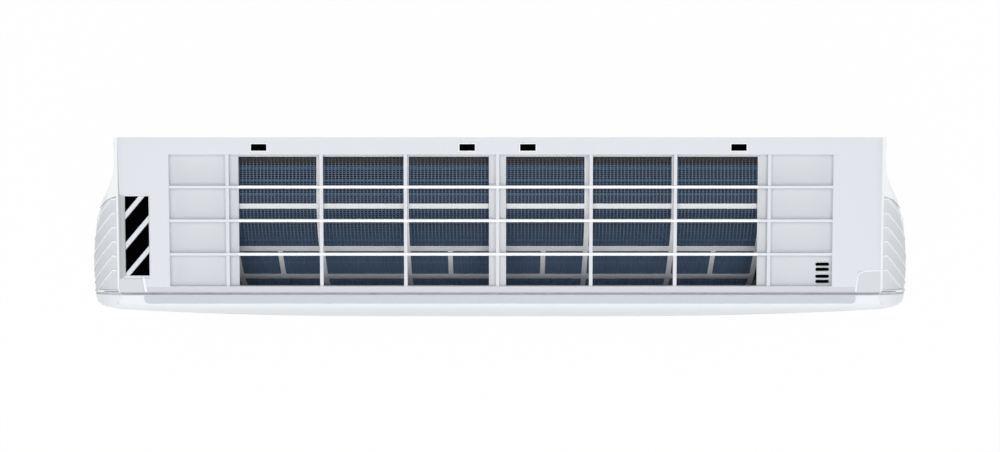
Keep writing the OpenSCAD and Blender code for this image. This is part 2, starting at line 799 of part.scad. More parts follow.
module louver() {
    color("white") {
        along_x(-flap_half, flap_half) flap_section();
        for (s = [-1, 1]) {
            x = s * (flap_half - 2);
            along_x(x - 2, x + 2) {
                translate([flap_y, flap_z]) circle(r = 6);
                polygon([[flap_y - 6, flap_z], [flap_y - 14, flap_z - 7.5], [flap_y - 6, flap_z - 15],
                    [flap_y + 6, flap_z - 15.5], [flap_y + 6, flap_z]]);
            }
            translate([x + s * 4, flap_y, flap_z]) rotate([0, 90, 0])
                cylinder(r = louver_pin_r, h = 4 + 2 * 4.2, center = true);
        }
    }
}

louver_motor_up = 6;
module louver_motor() {
    color("lightgray") difference() {
        along_x(duct_x + cheek_t, duct_x + cheek_t + 16)
            translate([flap_y, flap_z + louver_motor_up]) circle(r = 12);
        along_x(duct_x, duct_x + cheek_t + 9) translate([flap_y, flap_z]) circle(r = louver_pin_r + fit);
    }
    color("lightgray") along_x(duct_x + cheek_t, duct_x + cheek_t + 1) difference() {
        translate([flap_y, flap_z + louver_motor_up]) union() {
            square([30, 7], center = true);
            for (q = [-1, 1]) translate([q * 15, 0]) circle(r = 3.5);
        }
        translate([flap_y, flap_z]) circle(r = louver_pin_r + fit);
        for (q = [-1, 1]) translate([flap_y + q * 15, flap_z + louver_motor_up]) circle(r = 1.5);
    }
}

// Drain pan under the front fin pack, with the upper wall of the duct
pan_top = fan_z - 40;
spout_y = pan_front + 15;
spout_z = pan_top - 10;
spout_l = 19;
spout_wall = 2;
module pan_section() {
    polygon([[-125.3, pan_top + 2], tongue, tongue + [1, -2.5], upper_lip, nose_b, nose_a,
        [pan_front, pan_top + 2], [pan_front + 2.5, pan_top + 2], [pan_front + 2.5, pan_top - 16],
        [-127.7, pan_top - 9], [-127.7, pan_top + 2]]);
}

module drain_pan() {
    color("white") difference() {
        union() {
            along_x(-duct_x, duct_x) pan_section();
            for (s = [-1, 0, 1]) {
                x = s * (duct_x - 30);
                block([x - 2, pan_front + 8, pan_top - 16], [x + 2, -131, pan_top]);
            }
            for (x = [-duct_x, duct_x - 2])
                block([x, pan_front + 1, pan_top - 17], [x + 2, -126.5, pan_top - 2.8]);
            for (s = [-1, 1]) translate([s * (duct_x - 1), spout_y, spout_z]) rotate([0, s * 90, 0])
                cylinder(r = spout_r, h = spout_l + 1);
        }
        for (s = [-1, 1]) translate([s * (duct_x - 6), spout_y, spout_z]) rotate([0, s * 90, 0])
            cylinder(r = spout_r - spout_wall, h = 30);
    }
}

module drain_plug() {
    color("dimgray") translate([duct_x + spout_l, spout_y, spout_z]) rotate([0, 90, 0]) {
        translate([0, 0, -8]) cylinder(r = spout_r - spout_wall - fit, h = 9);
        cylinder(r = spout_r + 1.5, h = 3);
    }
}

// Fin packs, each given by its lower outer corner, its slope and its length
coil_front_l = 66;
coil_upper_l = 79;
pack_front = [-seam_d + 12.2, pan_top, 90];
pack_upper = [-seam_d + 16.2, fan_z + fan_r - 2, 55.5];
pack_rear = [back_y - 13, fan_z + fan_r + 18, 134.4];
// The rear pack ends this far behind the end of the upper pack
ridge_gap = 35.4;
coil_rear_l = (pack_upper[0] + coil_upper_l * cos(pack_upper[2]) + ridge_gap - pack_rear[0])
    / cos(pack_rear[2]);
// A pack's frame: x along its face upwards, y into the pack from the outer face
module pack_frame(p, flipped) {
    translate([0, p[0], p[1]]) rotate([p[2], 0, 0]) mirror([0, 0, flipped ? 0 : 1]) children();
}

function tubes_of(l) = [for (i = [0:floor(l / tube_pitch) - 1]) for (j = [0, 1])
    [(l - (floor(l / tube_pitch) - 1) * tube_pitch) / 2 + i * tube_pitch, fin_pack_t * (0.27 + 0.46 * j)]];

module pack_rods(l, r, x0, x1) {
    for (t = tubes_of(l)) translate([x0, t[0], t[1]]) rotate([0, 90, 0])
        cylinder(r = r, h = x1 - x0, $fn = 24);
}

module fin_pack(p, l, flipped) {
    color("midnightblue") pack_frame(p, flipped) difference() {
        block([coil_x0 + end_plate_t, 0, 0], [coil_x1 - end_plate_t, l, fin_pack_t]);
        pack_rods(l, tube_r + fit, coil_x0 - 1, coil_x1 + 1);
    }
}

module coil_front() { fin_pack(pack_front, coil_front_l, false); }
module coil_upper() { fin_pack(pack_upper, coil_upper_l, false); }
module coil_rear() { fin_pack(pack_rear, coil_rear_l, true); }

module each_pack() {
    pack_frame(pack_front, false) pack_part(coil_front_l, $part);
    pack_frame(pack_upper, false) pack_part(coil_upper_l, $part);
    pack_frame(pack_rear, true) pack_part(coil_rear_l, $part);
}

bend_out = 3;
module pack_part(l, part) {
    if (part == "tubes") difference() {
        pack_rods(l, tube_r, coil_x0 - bend_out, coil_x1 + bend_out);
        pack_rods(l, tube_r - 0.5, coil_x0 - bend_out - 1, coil_x1 + bend_out + 1);
    }
    if (part == "bends") for (i = [0:len(tubes_of(l)) / 2 - 1]) {
        a = tubes_of(l)[2 * i];
        b = tubes_of(l)[2 * i + 1];
        r = (b[1] - a[1]) / 2;
        for (s = [-1, 1])
            translate([s > 0 ? coil_x1 + bend_out : coil_x0 - bend_out, a[0], (a[1] + b[1]) / 2])
            rotate([90, 0, s > 0 ? 0 : 180]) rotate([0, 0, -90])
                rotate_extrude(angle = 180, $fn = 48) translate([r, 0]) circle(r = tube_r, $fn = 24);
    }
    if (part == "plates") difference() {
        for (x = [coil_x0, coil_x1 - end_plate_t])
            block([x, -2, -1.5], [x + end_plate_t, l + 2, fin_pack_t + 1]);
        pack_rods(l, tube_r + fit, coil_x0 - 5, coil_x1 + 5);
    }
}

module coil_tubes() { color("peru") each_pack($part = "tubes"); }
module coil_bends() { color("peru") each_pack($part = "bends"); }

module coil_plate_left() {
    color("lightgray") intersection() {
        each_pack($part = "plates");
        block([-far, -far, -far], [0, far, far]);
    }
}

module coil_plate_right() {
    color("lightgray") intersection() {
        each_pack($part = "plates");
        block([0, -far, -far], [far, far, far]);
    }
}

// Cross-flow fan
fan_x0 = -duct_x + 8;
fan_x1 = duct_x - 12;
fan_parts = 5;
module fan_wheel() {
    step = (fan_x1 - fan_x0 - disc_t) / fan_parts;
    color("dimgray") translate([0, fan_y, fan_z]) rotate([90, 0, 90]) {
        difference() {
            union() {
                translate([0, 0, fan_x0]) linear_extrude(fan_x1 - fan_x0) for (i = [0:fan_blades - 1])
                    rotate(i * 360 / fan_blades) polygon([[fan_r - 11, 0], [fan_r - 6, 1.6],
                        [fan_r - 0.5, 4.6], [fan_r - 0.7, 5.8], [fan_r - 6.4, 2.9],
                        [fan_r - 11, 1.2]]);
                for (i = [0:fan_parts]) translate([0, 0, fan_x0 + i * step])
                    cylinder(r = fan_r, h = disc_t);
                translate([0, 0, fan_x0]) cylinder(r = 10, h = 14);
                translate([0, 0, fan_x1 - 20]) cylinder(r = 12, h = 20);
            }
            translate([0, 0, fan_x0 - 1]) cylinder(r = shaft_r + fit, h = 20);
            translate([0, 0, fan_x1 - 30]) cylinder(r = shaft_r + fit, h = 40);
            for (i = [1:fan_parts - 1]) translate([0, 0, fan_x0 + i * step - 1])
                cylinder(r = fan_r - 16, h = disc_t + 2);
        }
    }
}

module fan_shaft() {
    color("lightsteelblue") translate([0, fan_y, fan_z]) rotate([0, 90, 0]) {
        translate([0, 0, -duct_x - cheek_t - 3]) cylinder(r = shaft_r, h = cheek_t + 3 + 8 + 16);
        translate([0, 0, fan_x1 - 28]) cylinder(r = shaft_r, h = motor_x0 - fan_x1 + 28 + 20);
    }
}

module bearing_bush() {
    color("goldenrod") translate([-duct_x - cheek_t - 2, fan_y, fan_z]) rotate([0, 90, 0]) difference() {
        cylinder(r = 8, h = 8);
        translate([0, 0, -1]) cylinder(r = shaft_r + fit, h = 10);
    }
}

module bearing_holder() {
    color("black") translate([-duct_x - cheek_t - 2, fan_y, fan_z]) rotate([0, 90, 0]) difference() {
        union() {
            cylinder(r = holder_r, h = 8);
            cylinder(r = holder_r + 3, h = 2);
            translate([0, 0, cheek_t + 2]) cylinder(r = holder_r + 1, h = 1.5);
        }
        translate([0, 0, -1]) cylinder(r = 8 + fit, h = 10);
    }
}

// Fan motor in its rubber rings, held by a cover
ring_w = 8;
module fan_motor() {
    color("silver") translate([motor_x0, fan_y, fan_z]) rotate([0, 90, 0]) difference() {
        union() {
            cylinder(r = motor_r, h = motor_l);
            translate([0, 0, -5]) cylinder(r = 13, h = 6);
            translate([0, 0, motor_l - 1]) cylinder(r = 16, h = 5);
        }
        translate([0, 0, -10]) cylinder(r = shaft_r + fit, h = 34);
    }
}

module motor_rings() {
    color("black") for (x = [motor_x0 + 3, motor_x0 + motor_l - ring_w - 8])
        translate([x, fan_y, fan_z]) rotate([0, 90, 0]) difference() {
            cylinder(r = motor_r + 3 - fit, h = ring_w);
            translate([0, 0, -1]) cylinder(r = motor_r + fit, h = ring_w + 2);
        }
}

module motor_cover() {
    color("gainsboro") along_x(motor_x0 + 2, motor_x0 + motor_l - 6) difference() {
        union() {
            translate([fan_y, fan_z]) circle(r = motor_r + 5.5);
            translate([fan_y - 48, fan_z - cradle_top]) square([92, 4]);
        }
        translate([fan_y, fan_z]) circle(r = motor_r + 3);
        translate([fan_y - 2 * motor_r, fan_z - cradle_top - 2 * motor_r])
            square([4 * motor_r, 2 * motor_r]);
    }
}

// Control box above the motor, open to the front
box_x0 = duct_x + 16;
box_x1 = chassis_half;
box_y0 = -142;
box_z0 = fan_z + 66;
box_z1 = top_z - 29;
box_t = 1.8;
module control_box() {
    color("ghostwhite") difference() {
        block([box_x0, box_y0, box_z0], [box_x1, back_y - back_t, box_z1]);
        block([box_x0 - 1, box_y0 + 14, box_z0 + box_t],
            [box_x1 - box_t, back_y - back_t - box_t, box_z1 - box_t]);
        block([box_x0 - 1, box_y0 - 1, box_z0 + 30], [box_x1 - box_t, box_y0 + 15, box_z1 - box_t]);
    }
}

module control_board() {
    x = box_x1 - box_t - 6;
    color("darkgreen") {
        block([x, box_y0 + 34, box_z0 + 5], [x + 1.6, back_y - back_t - 10, box_z1 - 6]);
        // Parts on the board: distance along it, height over its foot, size and thickness
        for (p = [[40, 20, 14, 12], [60, 22, 18, 10], [84, 18, 12, 14], [106, 26, 10, 8]])
            block([x - p[3], box_y0 + p[0], box_z0 + p[1]],
                [x + 0.1, box_y0 + p[0] + p[2], box_z0 + p[1] + p[2]]);
        for (y = [52, 97]) translate([x + 1.5, box_y0 + y, box_z0 + 12]) rotate([0, 90, 0])
            cylinder(r = post_r - 0.1, h = 4.5);
    }
}

module control_box_lid() {
    color("gainsboro") block([box_x0 - box_t, box_y0 + 2, box_z0],
        [box_x0 - 0.2, back_y - back_t - 1, box_z1]);
}

module terminal_block() {
    color("ivory") difference() {
        block([box_x0 + 4, box_y0 + 16, box_z0 + box_t],
            [box_x0 + 30, box_y0 + 32, box_z0 + 20]);
        for (i = [0:3]) translate([box_x0 + 8 + i * 6, box_y0 + 24, box_z0 + 12])
            cylinder(r = 1.8, h = 10);
    }
}

// Air sensor on a clip that sits on the right end plate of the coil
sensor_z = fan_z + 14;
sensor_y = pan_front + 0.4;
sensor_r = 2.2;
module room_sensor() {
    x = coil_x1 + 6;
    color("orange") {
        translate([x, sensor_y, sensor_z]) cylinder(r = sensor_r, h = 30);
        block([x - 1.5, sensor_y, sensor_z + 2], [x + 1.5, pack_front[0] + 1, sensor_z + 8]);
        block([coil_x1, pack_front[0] - 1.3, sensor_z], [x + 2, pack_front[0] + 1.8, sensor_z + 10]);
    }
}

// Refrigerant lines: out of the coil's right end, down past the duct's right
// cheek, and back along the pipe channel
gas_y = -25;
gas_z = bot_z + 48;
gas_top = fan_z + 58;
gas_turn = duct_x + 24;
liquid_y = -36;
liquid_z = bot_z + 20;
liquid_top = fan_z + 54;
liquid_turn = duct_x + cheek_t + 4;
gas_end = -120;
liquid_end = -180;
bend_r = 18;

module quarter_bend(r, a) {
    rotate([90, 0, 0]) rotate([0, 0, a]) rotate_extrude(angle = 90, $fn = 64)
        translate([bend_r, 0]) circle(r = r, $fn = 32);
}

module line(y, r, x_turn, z_low, z_top, x_end) {
    x_in = x_turn - bend_r;
    translate([coil_x1, y, z_top]) rotate([0, 90, 0]) cylinder(r = r, h = x_in - coil_x1, $fn = 32);
    translate([x_in, y, z_top - bend_r]) quarter_bend(r, 0);
    translate([x_turn, y, z_low + bend_r]) cylinder(r = r, h = z_top - z_low - 2 * bend_r, $fn = 32);
    translate([x_in, y, z_low + bend_r]) quarter_bend(r, -90);
    translate([x_end, y, z_low]) rotate([0, 90, 0]) cylinder(r = r, h = x_in - x_end, $fn = 32);
}

module gas_line() {
    color("peru") line(gas_y, gas_r, gas_turn, gas_z, gas_top, gas_end);
}

module liquid_line() {
    color("peru") line(liquid_y, liquid_r, liquid_turn, liquid_z, liquid_top, liquid_end);
}

// Radii of the flare threads, and their length past the hexagon
gas_thread_r = 9.525;
liquid_thread_r = 5.556;
thread_l = 14;
hex_l = 9;
module flare_union(y, z, x, r, thread_r) {
    color("goldenrod") translate([x, y, z]) rotate([0, -90, 0]) difference() {
        union() {
            cylinder(r = thread_r + 2.2, h = hex_l, $fn = 6);
            translate([0, 0, hex_l - eps]) cylinder(r = thread_r, h = thread_l);
            translate([0, 0, -6]) cylinder(r = r + 1.6, h = 6 + eps);
        }
        translate([0, 0, -7]) cylinder(r = r + fit, h = 8);
        translate([0, 0, -8]) cylinder(r = r - 1, h = 40);
    }
}

module gas_union() { flare_union(gas_y, gas_z, gas_end, gas_r, gas_thread_r); }
module liquid_union() { flare_union(liquid_y, liquid_z, liquid_end, liquid_r, liquid_thread_r); }

// Foam tube round the straight run of a line
module foam_tube(y, z, r, x_end, x_turn) {
    bare = 30;
    translate([x_end + bare, y, z]) rotate([0, 90, 0]) difference() {
        cylinder(r = r + foam_t, h = x_turn - bend_r - x_end - bare - 4);
        translate([0, 0, -1]) cylinder(r = r + fit, h = 2 * far);
    }
}

module pipe_insulation() {
    color("whitesmoke") {
        foam_tube(gas_y, gas_z, gas_r, gas_end, gas_turn);
        foam_tube(liquid_y, liquid_z, liquid_r, liquid_end, liquid_turn);
    }
}

// Wall plate with standing pads that the chassis hangs on
plate_z0 = bot_z + 80;
plate_z1 = top_z - 35;
hole_dx = 240;
hole_dz = 70;
hole_mid_z = (plate_z0 + plate_z1) / 2;
pads_x = [-200, 0, 200];
module wall_plate() {
    color("lightsteelblue") difference() {
        union() {
            difference() {
                block([-plate_w / 2, -plate_t, plate_z0], [plate_w / 2, 0, plate_z1]);
                for (x = [-120, 120])
                    block([x - 50, -far, plate_z0 + 57], [x + 50, far, plate_z1 - 50]);
            }
            for (x = pads_x)
                block([x - 25, back_y, plate_z1 - 20], [x + 25, -plate_t + eps, plate_z1 - 8]);
            for (x = [pads_x[0], pads_x[2]])
                block([x - 15, back_y, plate_z0 + 4], [x + 15, -plate_t + eps, plate_z0 + 12]);
        }
        for (x = [-hole_dx, 0, hole_dx]) for (z = [-hole_dz / 2, hole_dz / 2])
            translate([x, 1, hole_mid_z + z]) rotate([90, 0, 0]) cylinder(r = plate_hole_r, h = 12);
    }
}

module wall_screws() {
    color("silver") for (z = [-hole_dz / 2, hole_dz / 2])
        translate([0, -plate_t, hole_mid_z + z]) rotate([90, 0, 0]) {
            translate([0, 0, -plate_t]) cylinder(r = plate_hole_r - gap, h = plate_t + eps);
            difference() {
                cylinder(r = 4.4, h = 2.2);
                translate([0, 0, 1.2]) linear_extrude(3) square([4, 0.9], center = true);
                translate([0, 0, 1.2]) linear_extrude(3) square([0.9, 4], center = true);
            }
        }
}

module casing_screws() {
    color("silver") for (x = screw_x) translate([x, screw_y, bot_z + wall - 1]) {
        translate([0, 0, -0.8]) cylinder(r = 1.5, h = 7.8);
        translate([0, 0, -0.8]) cylinder(r = 3.4, h = 0.8);
    }
}

module screw_caps() {
    color("white") for (x = screw_x) translate([x, screw_y, bot_z]) cylinder(r = cap_r, h = 0.6);
}

// Filters: a frame that follows a path in depth and height, and a mesh inside it
// The filters lie on both sides of the middle bar, a little apart
filter_ends = [bar_mid - 2.45, bar_mid - 1.15];
filter_w = recess_x1 - filter_in - filter_ends[1];
filter_mid = [filter_ends[0] - filter_w / 2, filter_ends[1] + filter_w / 2];
filter_top = top_z - 20;
filter_back = -12;
turn_a = 55;
turn_r1 = 72;
turn_y1 = -seam_d + 108.2;
turn_r2 = 110.6;
filter_front = -seam_d + 3.2;
slope_l = (turn_y1 - filter_front - turn_r1 * sin(turn_a) - turn_r2 * (1 - sin(turn_a)))
    / cos(turn_a);
filter_low = fan_z - 48;

// Centre line of the filter, shifted inward by n
function arc_pts(c, r, a0, a1, k) = [for (i = [0:k]) let (a = a0 + (a1 - a0) * i / k)
    c + r * [-sin(a), cos(a)]];
slope_start = [turn_y1 - turn_r1 * sin(turn_a), filter_top - turn_r1 * (1 - cos(turn_a))];
slope_end = slope_start + slope_l * [-cos(turn_a), -sin(turn_a)];
turn_c2 = slope_end + turn_r2 * [sin(turn_a), -cos(turn_a)];
function filter_line(n) = concat([[filter_back, filter_top - n]],
    arc_pts([turn_y1, filter_top - turn_r1], turn_r1 - n, 0, turn_a, 8),
    arc_pts(turn_c2, turn_r2 - n, turn_a, 90, 6), [[turn_c2[0] - turn_r2 + n, filter_low]]);

module filter_sheet(x0, x1, n0, n1) {
    lower = filter_line(n1);
    along_x(x0, x1) polygon(concat(filter_line(n0), [for (i = [len(lower) - 1:-1:0]) lower[i]]));
}

cross_ribs = [filter_back - 2.8, -72, -117.2, -148];
low_ribs = [fan_z + 12, filter_low + 4];
short_rib_w = 5.2;
short_rib_x = 91.5;

// A rib across the filter, where its path lies between two distances from the wall
module cross_rib(x, low, high, n) {
    intersection() {
        filter_sheet(x - filter_w / 2 + 1, x + filter_w / 2 - 1, -n, n);
        block(low, high);
    }
}

module filter_cross_ribs(x, n) {
    for (y = cross_ribs)
        cross_rib(x, [-far, y - filter_rib_w / 2, -far], [far, y + filter_rib_w / 2, far], n);
    for (z = low_ribs)
        cross_rib(x, [-far, filter_front - 10, z - 4], [far, filter_front + 10, z + 4], n);
    for (q = [-1, 1]) intersection() {
        mid = x + q * short_rib_x;
        filter_sheet(mid - short_rib_w / 2, mid + short_rib_w / 2, -n, n);
        block([-far, cross_ribs[3], -far], [far, cross_ribs[2], far]);
    }
}

module filter_frame(x) {
    n = filter_t / 2;
    color("lightgray") {
        for (i = [0:3]) {
            c = x - filter_w / 2 + filter_rib_w / 2 + i * (filter_w - filter_rib_w) / 3;
            filter_sheet(c - filter_rib_w / 2, c + filter_rib_w / 2, -n, n);
        }
        filter_cross_ribs(x, n);
    }
}

mesh_half_t = 0.3;
module filter_mesh(x) {
    pitch = (filter_w - filter_rib_w) / 3;
    color("dimgray") difference() {
        for (i = [0:2]) {
            x0 = x - filter_w / 2 + i * pitch + filter_rib_w;
            filter_sheet(x0, x0 + pitch - filter_rib_w, -mesh_half_t, mesh_half_t);
        }
        filter_cross_ribs(x, 2 * mesh_half_t);
    }
}

module filter_frame_left() { filter_frame(filter_mid[0]); }
module filter_frame_right() { filter_frame(filter_mid[1]); }
module filter_mesh_left() { filter_mesh(filter_mid[0]); }
module filter_mesh_right() { filter_mesh(filter_mid[1]); }

front_frame();
side_vent_left();
side_vent_right();
front_panel();
panel_top_strip();
panel_hinges();
power_button();
chassis();
wall_plate();
wall_screws();
casing_screws();
screw_caps();
filter_frame_left();
filter_mesh_left();
filter_frame_right();
filter_mesh_right();
coil_upper();
coil_front();
coil_rear();
coil_tubes();
coil_bends();
coil_plate_left();
coil_plate_right();
liquid_line();
gas_line();
liquid_union();
gas_union();
pipe_insulation();
drain_pan();
drain_plug();
fan_wheel();
fan_shaft();
bearing_bush();
bearing_holder();
fan_motor();
motor_rings();
motor_cover();
control_box();
control_board();
control_box_lid();
terminal_block();
room_sensor();
display_board();
louver();
louver_motor();
vane_motors();
link_left();
link_right();
vane_left_1();
vane_left_2();
vane_left_3();
vane_left_4();
vane_left_5();
vane_right_1();
vane_right_2();
vane_right_3();
vane_right_4();
vane_right_5();
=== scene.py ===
"""Looks of a wall-mounted air conditioner indoor unit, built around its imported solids.

Everything is in metres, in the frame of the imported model: X along the unit, Y into
the wall, Z up, with the origin on the wall plane.
"""

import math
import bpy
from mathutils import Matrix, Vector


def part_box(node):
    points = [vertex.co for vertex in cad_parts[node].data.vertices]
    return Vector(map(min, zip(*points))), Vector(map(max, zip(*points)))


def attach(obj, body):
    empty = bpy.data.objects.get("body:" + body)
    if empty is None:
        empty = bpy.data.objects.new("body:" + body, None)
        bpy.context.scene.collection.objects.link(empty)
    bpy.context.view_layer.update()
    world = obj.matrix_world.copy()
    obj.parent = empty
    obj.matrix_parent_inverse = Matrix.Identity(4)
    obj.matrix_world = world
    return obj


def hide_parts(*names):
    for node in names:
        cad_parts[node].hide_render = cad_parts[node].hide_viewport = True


bl_info = {
    "name": "Air conditioner indoor unit",
    "version": (1, 0, 0),
    "blender": (4, 5, 0),
    "location": "View3D > Sidebar > Indoor unit",
    "description": "Dresses the packed indoor unit in moulded plastic, coated fins and filter nets",
    "category": "Add Mesh",
}

import bpy
from mathutils import Matrix, Vector

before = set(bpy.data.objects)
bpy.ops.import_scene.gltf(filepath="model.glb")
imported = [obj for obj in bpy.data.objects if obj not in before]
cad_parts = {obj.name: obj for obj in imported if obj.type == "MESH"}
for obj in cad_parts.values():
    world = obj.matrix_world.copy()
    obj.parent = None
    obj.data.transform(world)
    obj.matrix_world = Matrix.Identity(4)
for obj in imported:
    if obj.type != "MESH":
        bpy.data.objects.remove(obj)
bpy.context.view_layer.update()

# Width of the camera's sensor in millimetres
SENSOR_WIDTH = 36.0
# Softboxes: name, place, turn in degrees, size, and share of the side lamps' power
SOFTBOXES = (
    ("Left side", (-2.3, -0.7, 0.9), (0.0, -70.0, 0.0), 1.6, 1.0),
    ("Right side", (2.3, -0.7, 0.9), (0.0, 70.0, 0.0), 1.6, 1.0),
    ("Front", (0.0, -2.4, 0.9), (66.0, 0.0, 0.0), 1.8, 0.8),
)
# Middle of the unit's depth
UNIT_Y = -0.093
# Top of the casing at the wall, and its fall towards the seam
TOP_Z = 0.145
TOP_SLOPE = 0.014 / 0.1632
# Front of the casing's top: where the painted shade of the rim and of the rounded lip starts, and
# half the rim's width
RIM_Y = -0.1566
LIP_Y = -0.1596
RIM_HALF = 0.3735
# Recess of the intake grille: left, right, back and front, and its depth
RECESS = (-0.347, 0.349, -0.0185, -0.157)
RECESS_DEEP = 0.009
# The intake windows in the recess: their middle, and half their width
WINDOWS_X = -0.002
WINDOWS_HALF = 0.2725
# Middles of the four slots by the wall
WALL_SLOTS = (-0.2524, -0.0343, 0.0292, 0.2499)
SLOT_Y = -0.0109
# Slanted window: its left side, front and back
SLANT = (-0.3935, -0.149, -0.0595)
# Black pads under the slots at the right and under the slanted window, standing in for the shade
# inside them, by two corners each
PADS = (
    ((0.3300, -0.1560, 0.1195), (0.3505, -0.1290, 0.1203)),
    ((-0.4000, -0.1500, 0.1060), (-0.3600, -0.0560, 0.1070)),
)
# Raised lines beside the lowered corners of the top, white with a painted highlight: name, width,
# and places on the top
CORNER_BEADS = (
    ("corner_bead_right", 0.0012, (
        (0.4018, -0.1397), (0.385, -0.1405), (0.3795, -0.1418),
        (0.3766, -0.1447), (0.3758, -0.15), (0.3744, -0.1622),
    )),
    ("corner_bead_left", 0.0022, ((-0.3748, -0.1472), (-0.3738, -0.155), (-0.3722, -0.1622))),
)
# The casing's materials, in their order on the mesh; the grille and side edges carry a painted
# highlight, the recess floor and the step a painted shade
CASING, GRILLE_LIT, FLOOR_SHADE, SIDE_EDGE_LIT, STEP_SHADE = range(5)
# Ribs of the shoulder vents: number, place of the first, spacing, width, and where they bend
VENT_RIBS = 6
VENT_RIB_Y = -0.064
VENT_RIB_PITCH = 0.015
VENT_RIB_WIDTH = 0.0017
VENT_BEND_X = 0.408
# Strip on the panel: its fall, the radius of its front corners, and its smooth ends
STRIP_SLOPE = math.radians(4.2)
STRIP_CORNER = 0.0045
STRIP_END = 0.006
# Grey lip in the panel's seam, standing in for the seam's soft shadow line, by two corners
SEAM_SHADE_LIP = ((-0.4, -0.16445, 0.1272), (0.4, -0.16345, 0.1289))
# Its ends: places down the shoulder, distance to the wall, and width
SEAM_SHADE_ENDS = (
    (((0.3996, 0.1288), (0.4067, 0.1268), (0.4127, 0.1228), (0.4195, 0.1162)), -0.1635, 0.0029),
    (((0.4199, 0.1158), (0.4238, 0.1103), (0.4286, 0.102), (0.4325, 0.094)), -0.1642, 0.0014),
)
# Slopes of the three fin packs, from their lower outer corner upwards
PACK_SLOPES = {"coil_front": 90.0, "coil_upper": 55.5, "coil_rear": 134.4}
# Bands of painted highlight on the packs' outer faces: distance from the lower end, and width
PACK_BANDS = {
    "coil_front": (),
    "coil_upper": ((0.0258, 0.0034), (0.0472, 0.0038), (0.0687, 0.0034)),
    "coil_rear": ((0.0142, 0.0046), (0.0336, 0.003), (0.0556, 0.0034)),
}
# Folds pressed into a fin, and where the two rows of tubes pass through its depth
FIN_FOLDS = 6
TUBE_ROWS = (0.27, 0.73)
# Fin faces: half width of the painted highlight on a tube row, and the spacing and half width of
# the painted highlights at the slits
ROW_GLINT = 0.0022
SLIT_PITCH = 0.0021
SLIT_HALF = 0.0006
# How far a net runs into its frame, where it goes in under the wall side and takes a painted shade,
# and below which a painted light makes it lighter
NET_LAP = 0.003
NET_SHADE_Y = -0.0285
NET_DEEP_Z = 0.105
# Height over which the filter's ribs get a painted shade, greyer close under the grille
RIB_SHADE_Z = 0.09


def linear(red, green, blue):
    """Colour as a shader wants it, from the values that a picture shows."""
    shown = [c / 255 for c in (red, green, blue)]
    return tuple(c / 12.92 if c <= 0.04045 else ((c + 0.055) / 1.055) ** 2.4 for c in shown)


def colour_property(name, description, red, green, blue):
    return bpy.props.FloatVectorProperty(
        name=name, description=description, subtype="COLOR", size=3, min=0.0, max=1.0,
        default=linear(red, green, blue),
    )


def number_property(name, description, default, unit="LENGTH"):
    return bpy.props.FloatProperty(
        name=name, description=description, default=default, min=0.0, unit=unit, precision=5
    )


class CasingSettings(bpy.types.PropertyGroup):
    """Colours and edge sizes of the moulded parts."""

    edge: number_property("Edge radius", "Rounding of the moulded edges", 0.0004)
    soft_edge: number_property("Panel edge", "Rounding of the front panel's edges", 0.0012)
    plastic: colour_property("Casing", "Cool white of the casing", 224, 226, 232)
    bright: colour_property("Grille bars", "Painted highlight: white of the grille bars", 250, 252, 254)
    edge_highlight: colour_property("Side edges", "Painted highlight on the rounded side edges", 246, 249, 250)
    floor: colour_property("Recess floor", "Painted shade: grey white of the recess floor", 216, 219, 223)
    vent: colour_property("Shoulder vents", "Light grey of the ribbed vents", 219, 222, 226)
    panel: colour_property("Front panel", "Glossy white of the front panel", 236, 239, 243)
    strip: colour_property("Panel strip", "Lavender grey of the ribbed strip", 206, 210, 217)
    rib_pitch: number_property("Strip rib spacing", "Spacing of the ribs on the strip", 0.00225)


class CoilSettings(bpy.types.PropertyGroup):
    """Fins of the heat exchanger."""

    pitch: number_property("Fin spacing", "Distance from one fin to the next", 0.0016)
    sheet: number_property("Fin thickness", "Thickness of a fin", 0.00022)
    ripple: number_property("Fin ripple", "Half height of the waves pressed into a fin", 0.0003)
    navy: colour_property("Fin coating", "Dark blue of the coated fins", 26, 56, 100)
    painted_glint: colour_property("Fin highlight", "Painted highlight: bright blue along the tube rows", 112, 206, 255)
    band: number_property("Band height", "Height of the painted highlight bands over the fins' edges", 0.0003)
    row_pitch: number_property("Tube row spacing", "Distance between tube rows along a pack", 0.021)
    collar: number_property("Collar radius", "Radius of the fin collars round the tubes", 0.00362)


class FilterSettings(bpy.types.PropertyGroup):
    """Nets of the air filters."""

    along_pitch: number_property("Long spacing", "Spacing of threads from back to front", 0.00376)
    cross_pitch: number_property("Cross spacing", "Spacing of threads along the unit", 0.00208)
    along_thread: number_property("Long thread", "Width of the threads from back to front", 0.00105)
    cross_thread: number_property("Cross thread", "Width of the threads along the unit", 0.00075)
    net: colour_property("Net", "Blue grey of the net", 74, 92, 116)
    painted_net_shade: colour_property("Shaded net", "Painted shade: dark grey of the net by the wall", 50, 52, 54)
    rib: colour_property("Filter frame", "Light grey of the filter frame", 248, 249, 250)


class StageSettings(bpy.types.PropertyGroup):
    """Camera, floor and light."""

    camera_z: number_property("Camera height", "Height of the camera over the unit's middle", 2.145)
    view_width: number_property("View width", "Width seen at the casing's top", 1.045)
    floor_z: bpy.props.FloatProperty(
        name="Floor height", description="Height of the studio floor", default=-0.34, unit="LENGTH"
    )
    sky: number_property("Ambient light", "Strength of the even light", 0.34, "NONE")
    lamp: number_property("Overhead lamp", "Power of the overhead softbox", 50.0, "POWER")
    side_lamp: number_property("Side lamps", "Power of each side softbox", 11.0, "POWER")


# Shader expressions


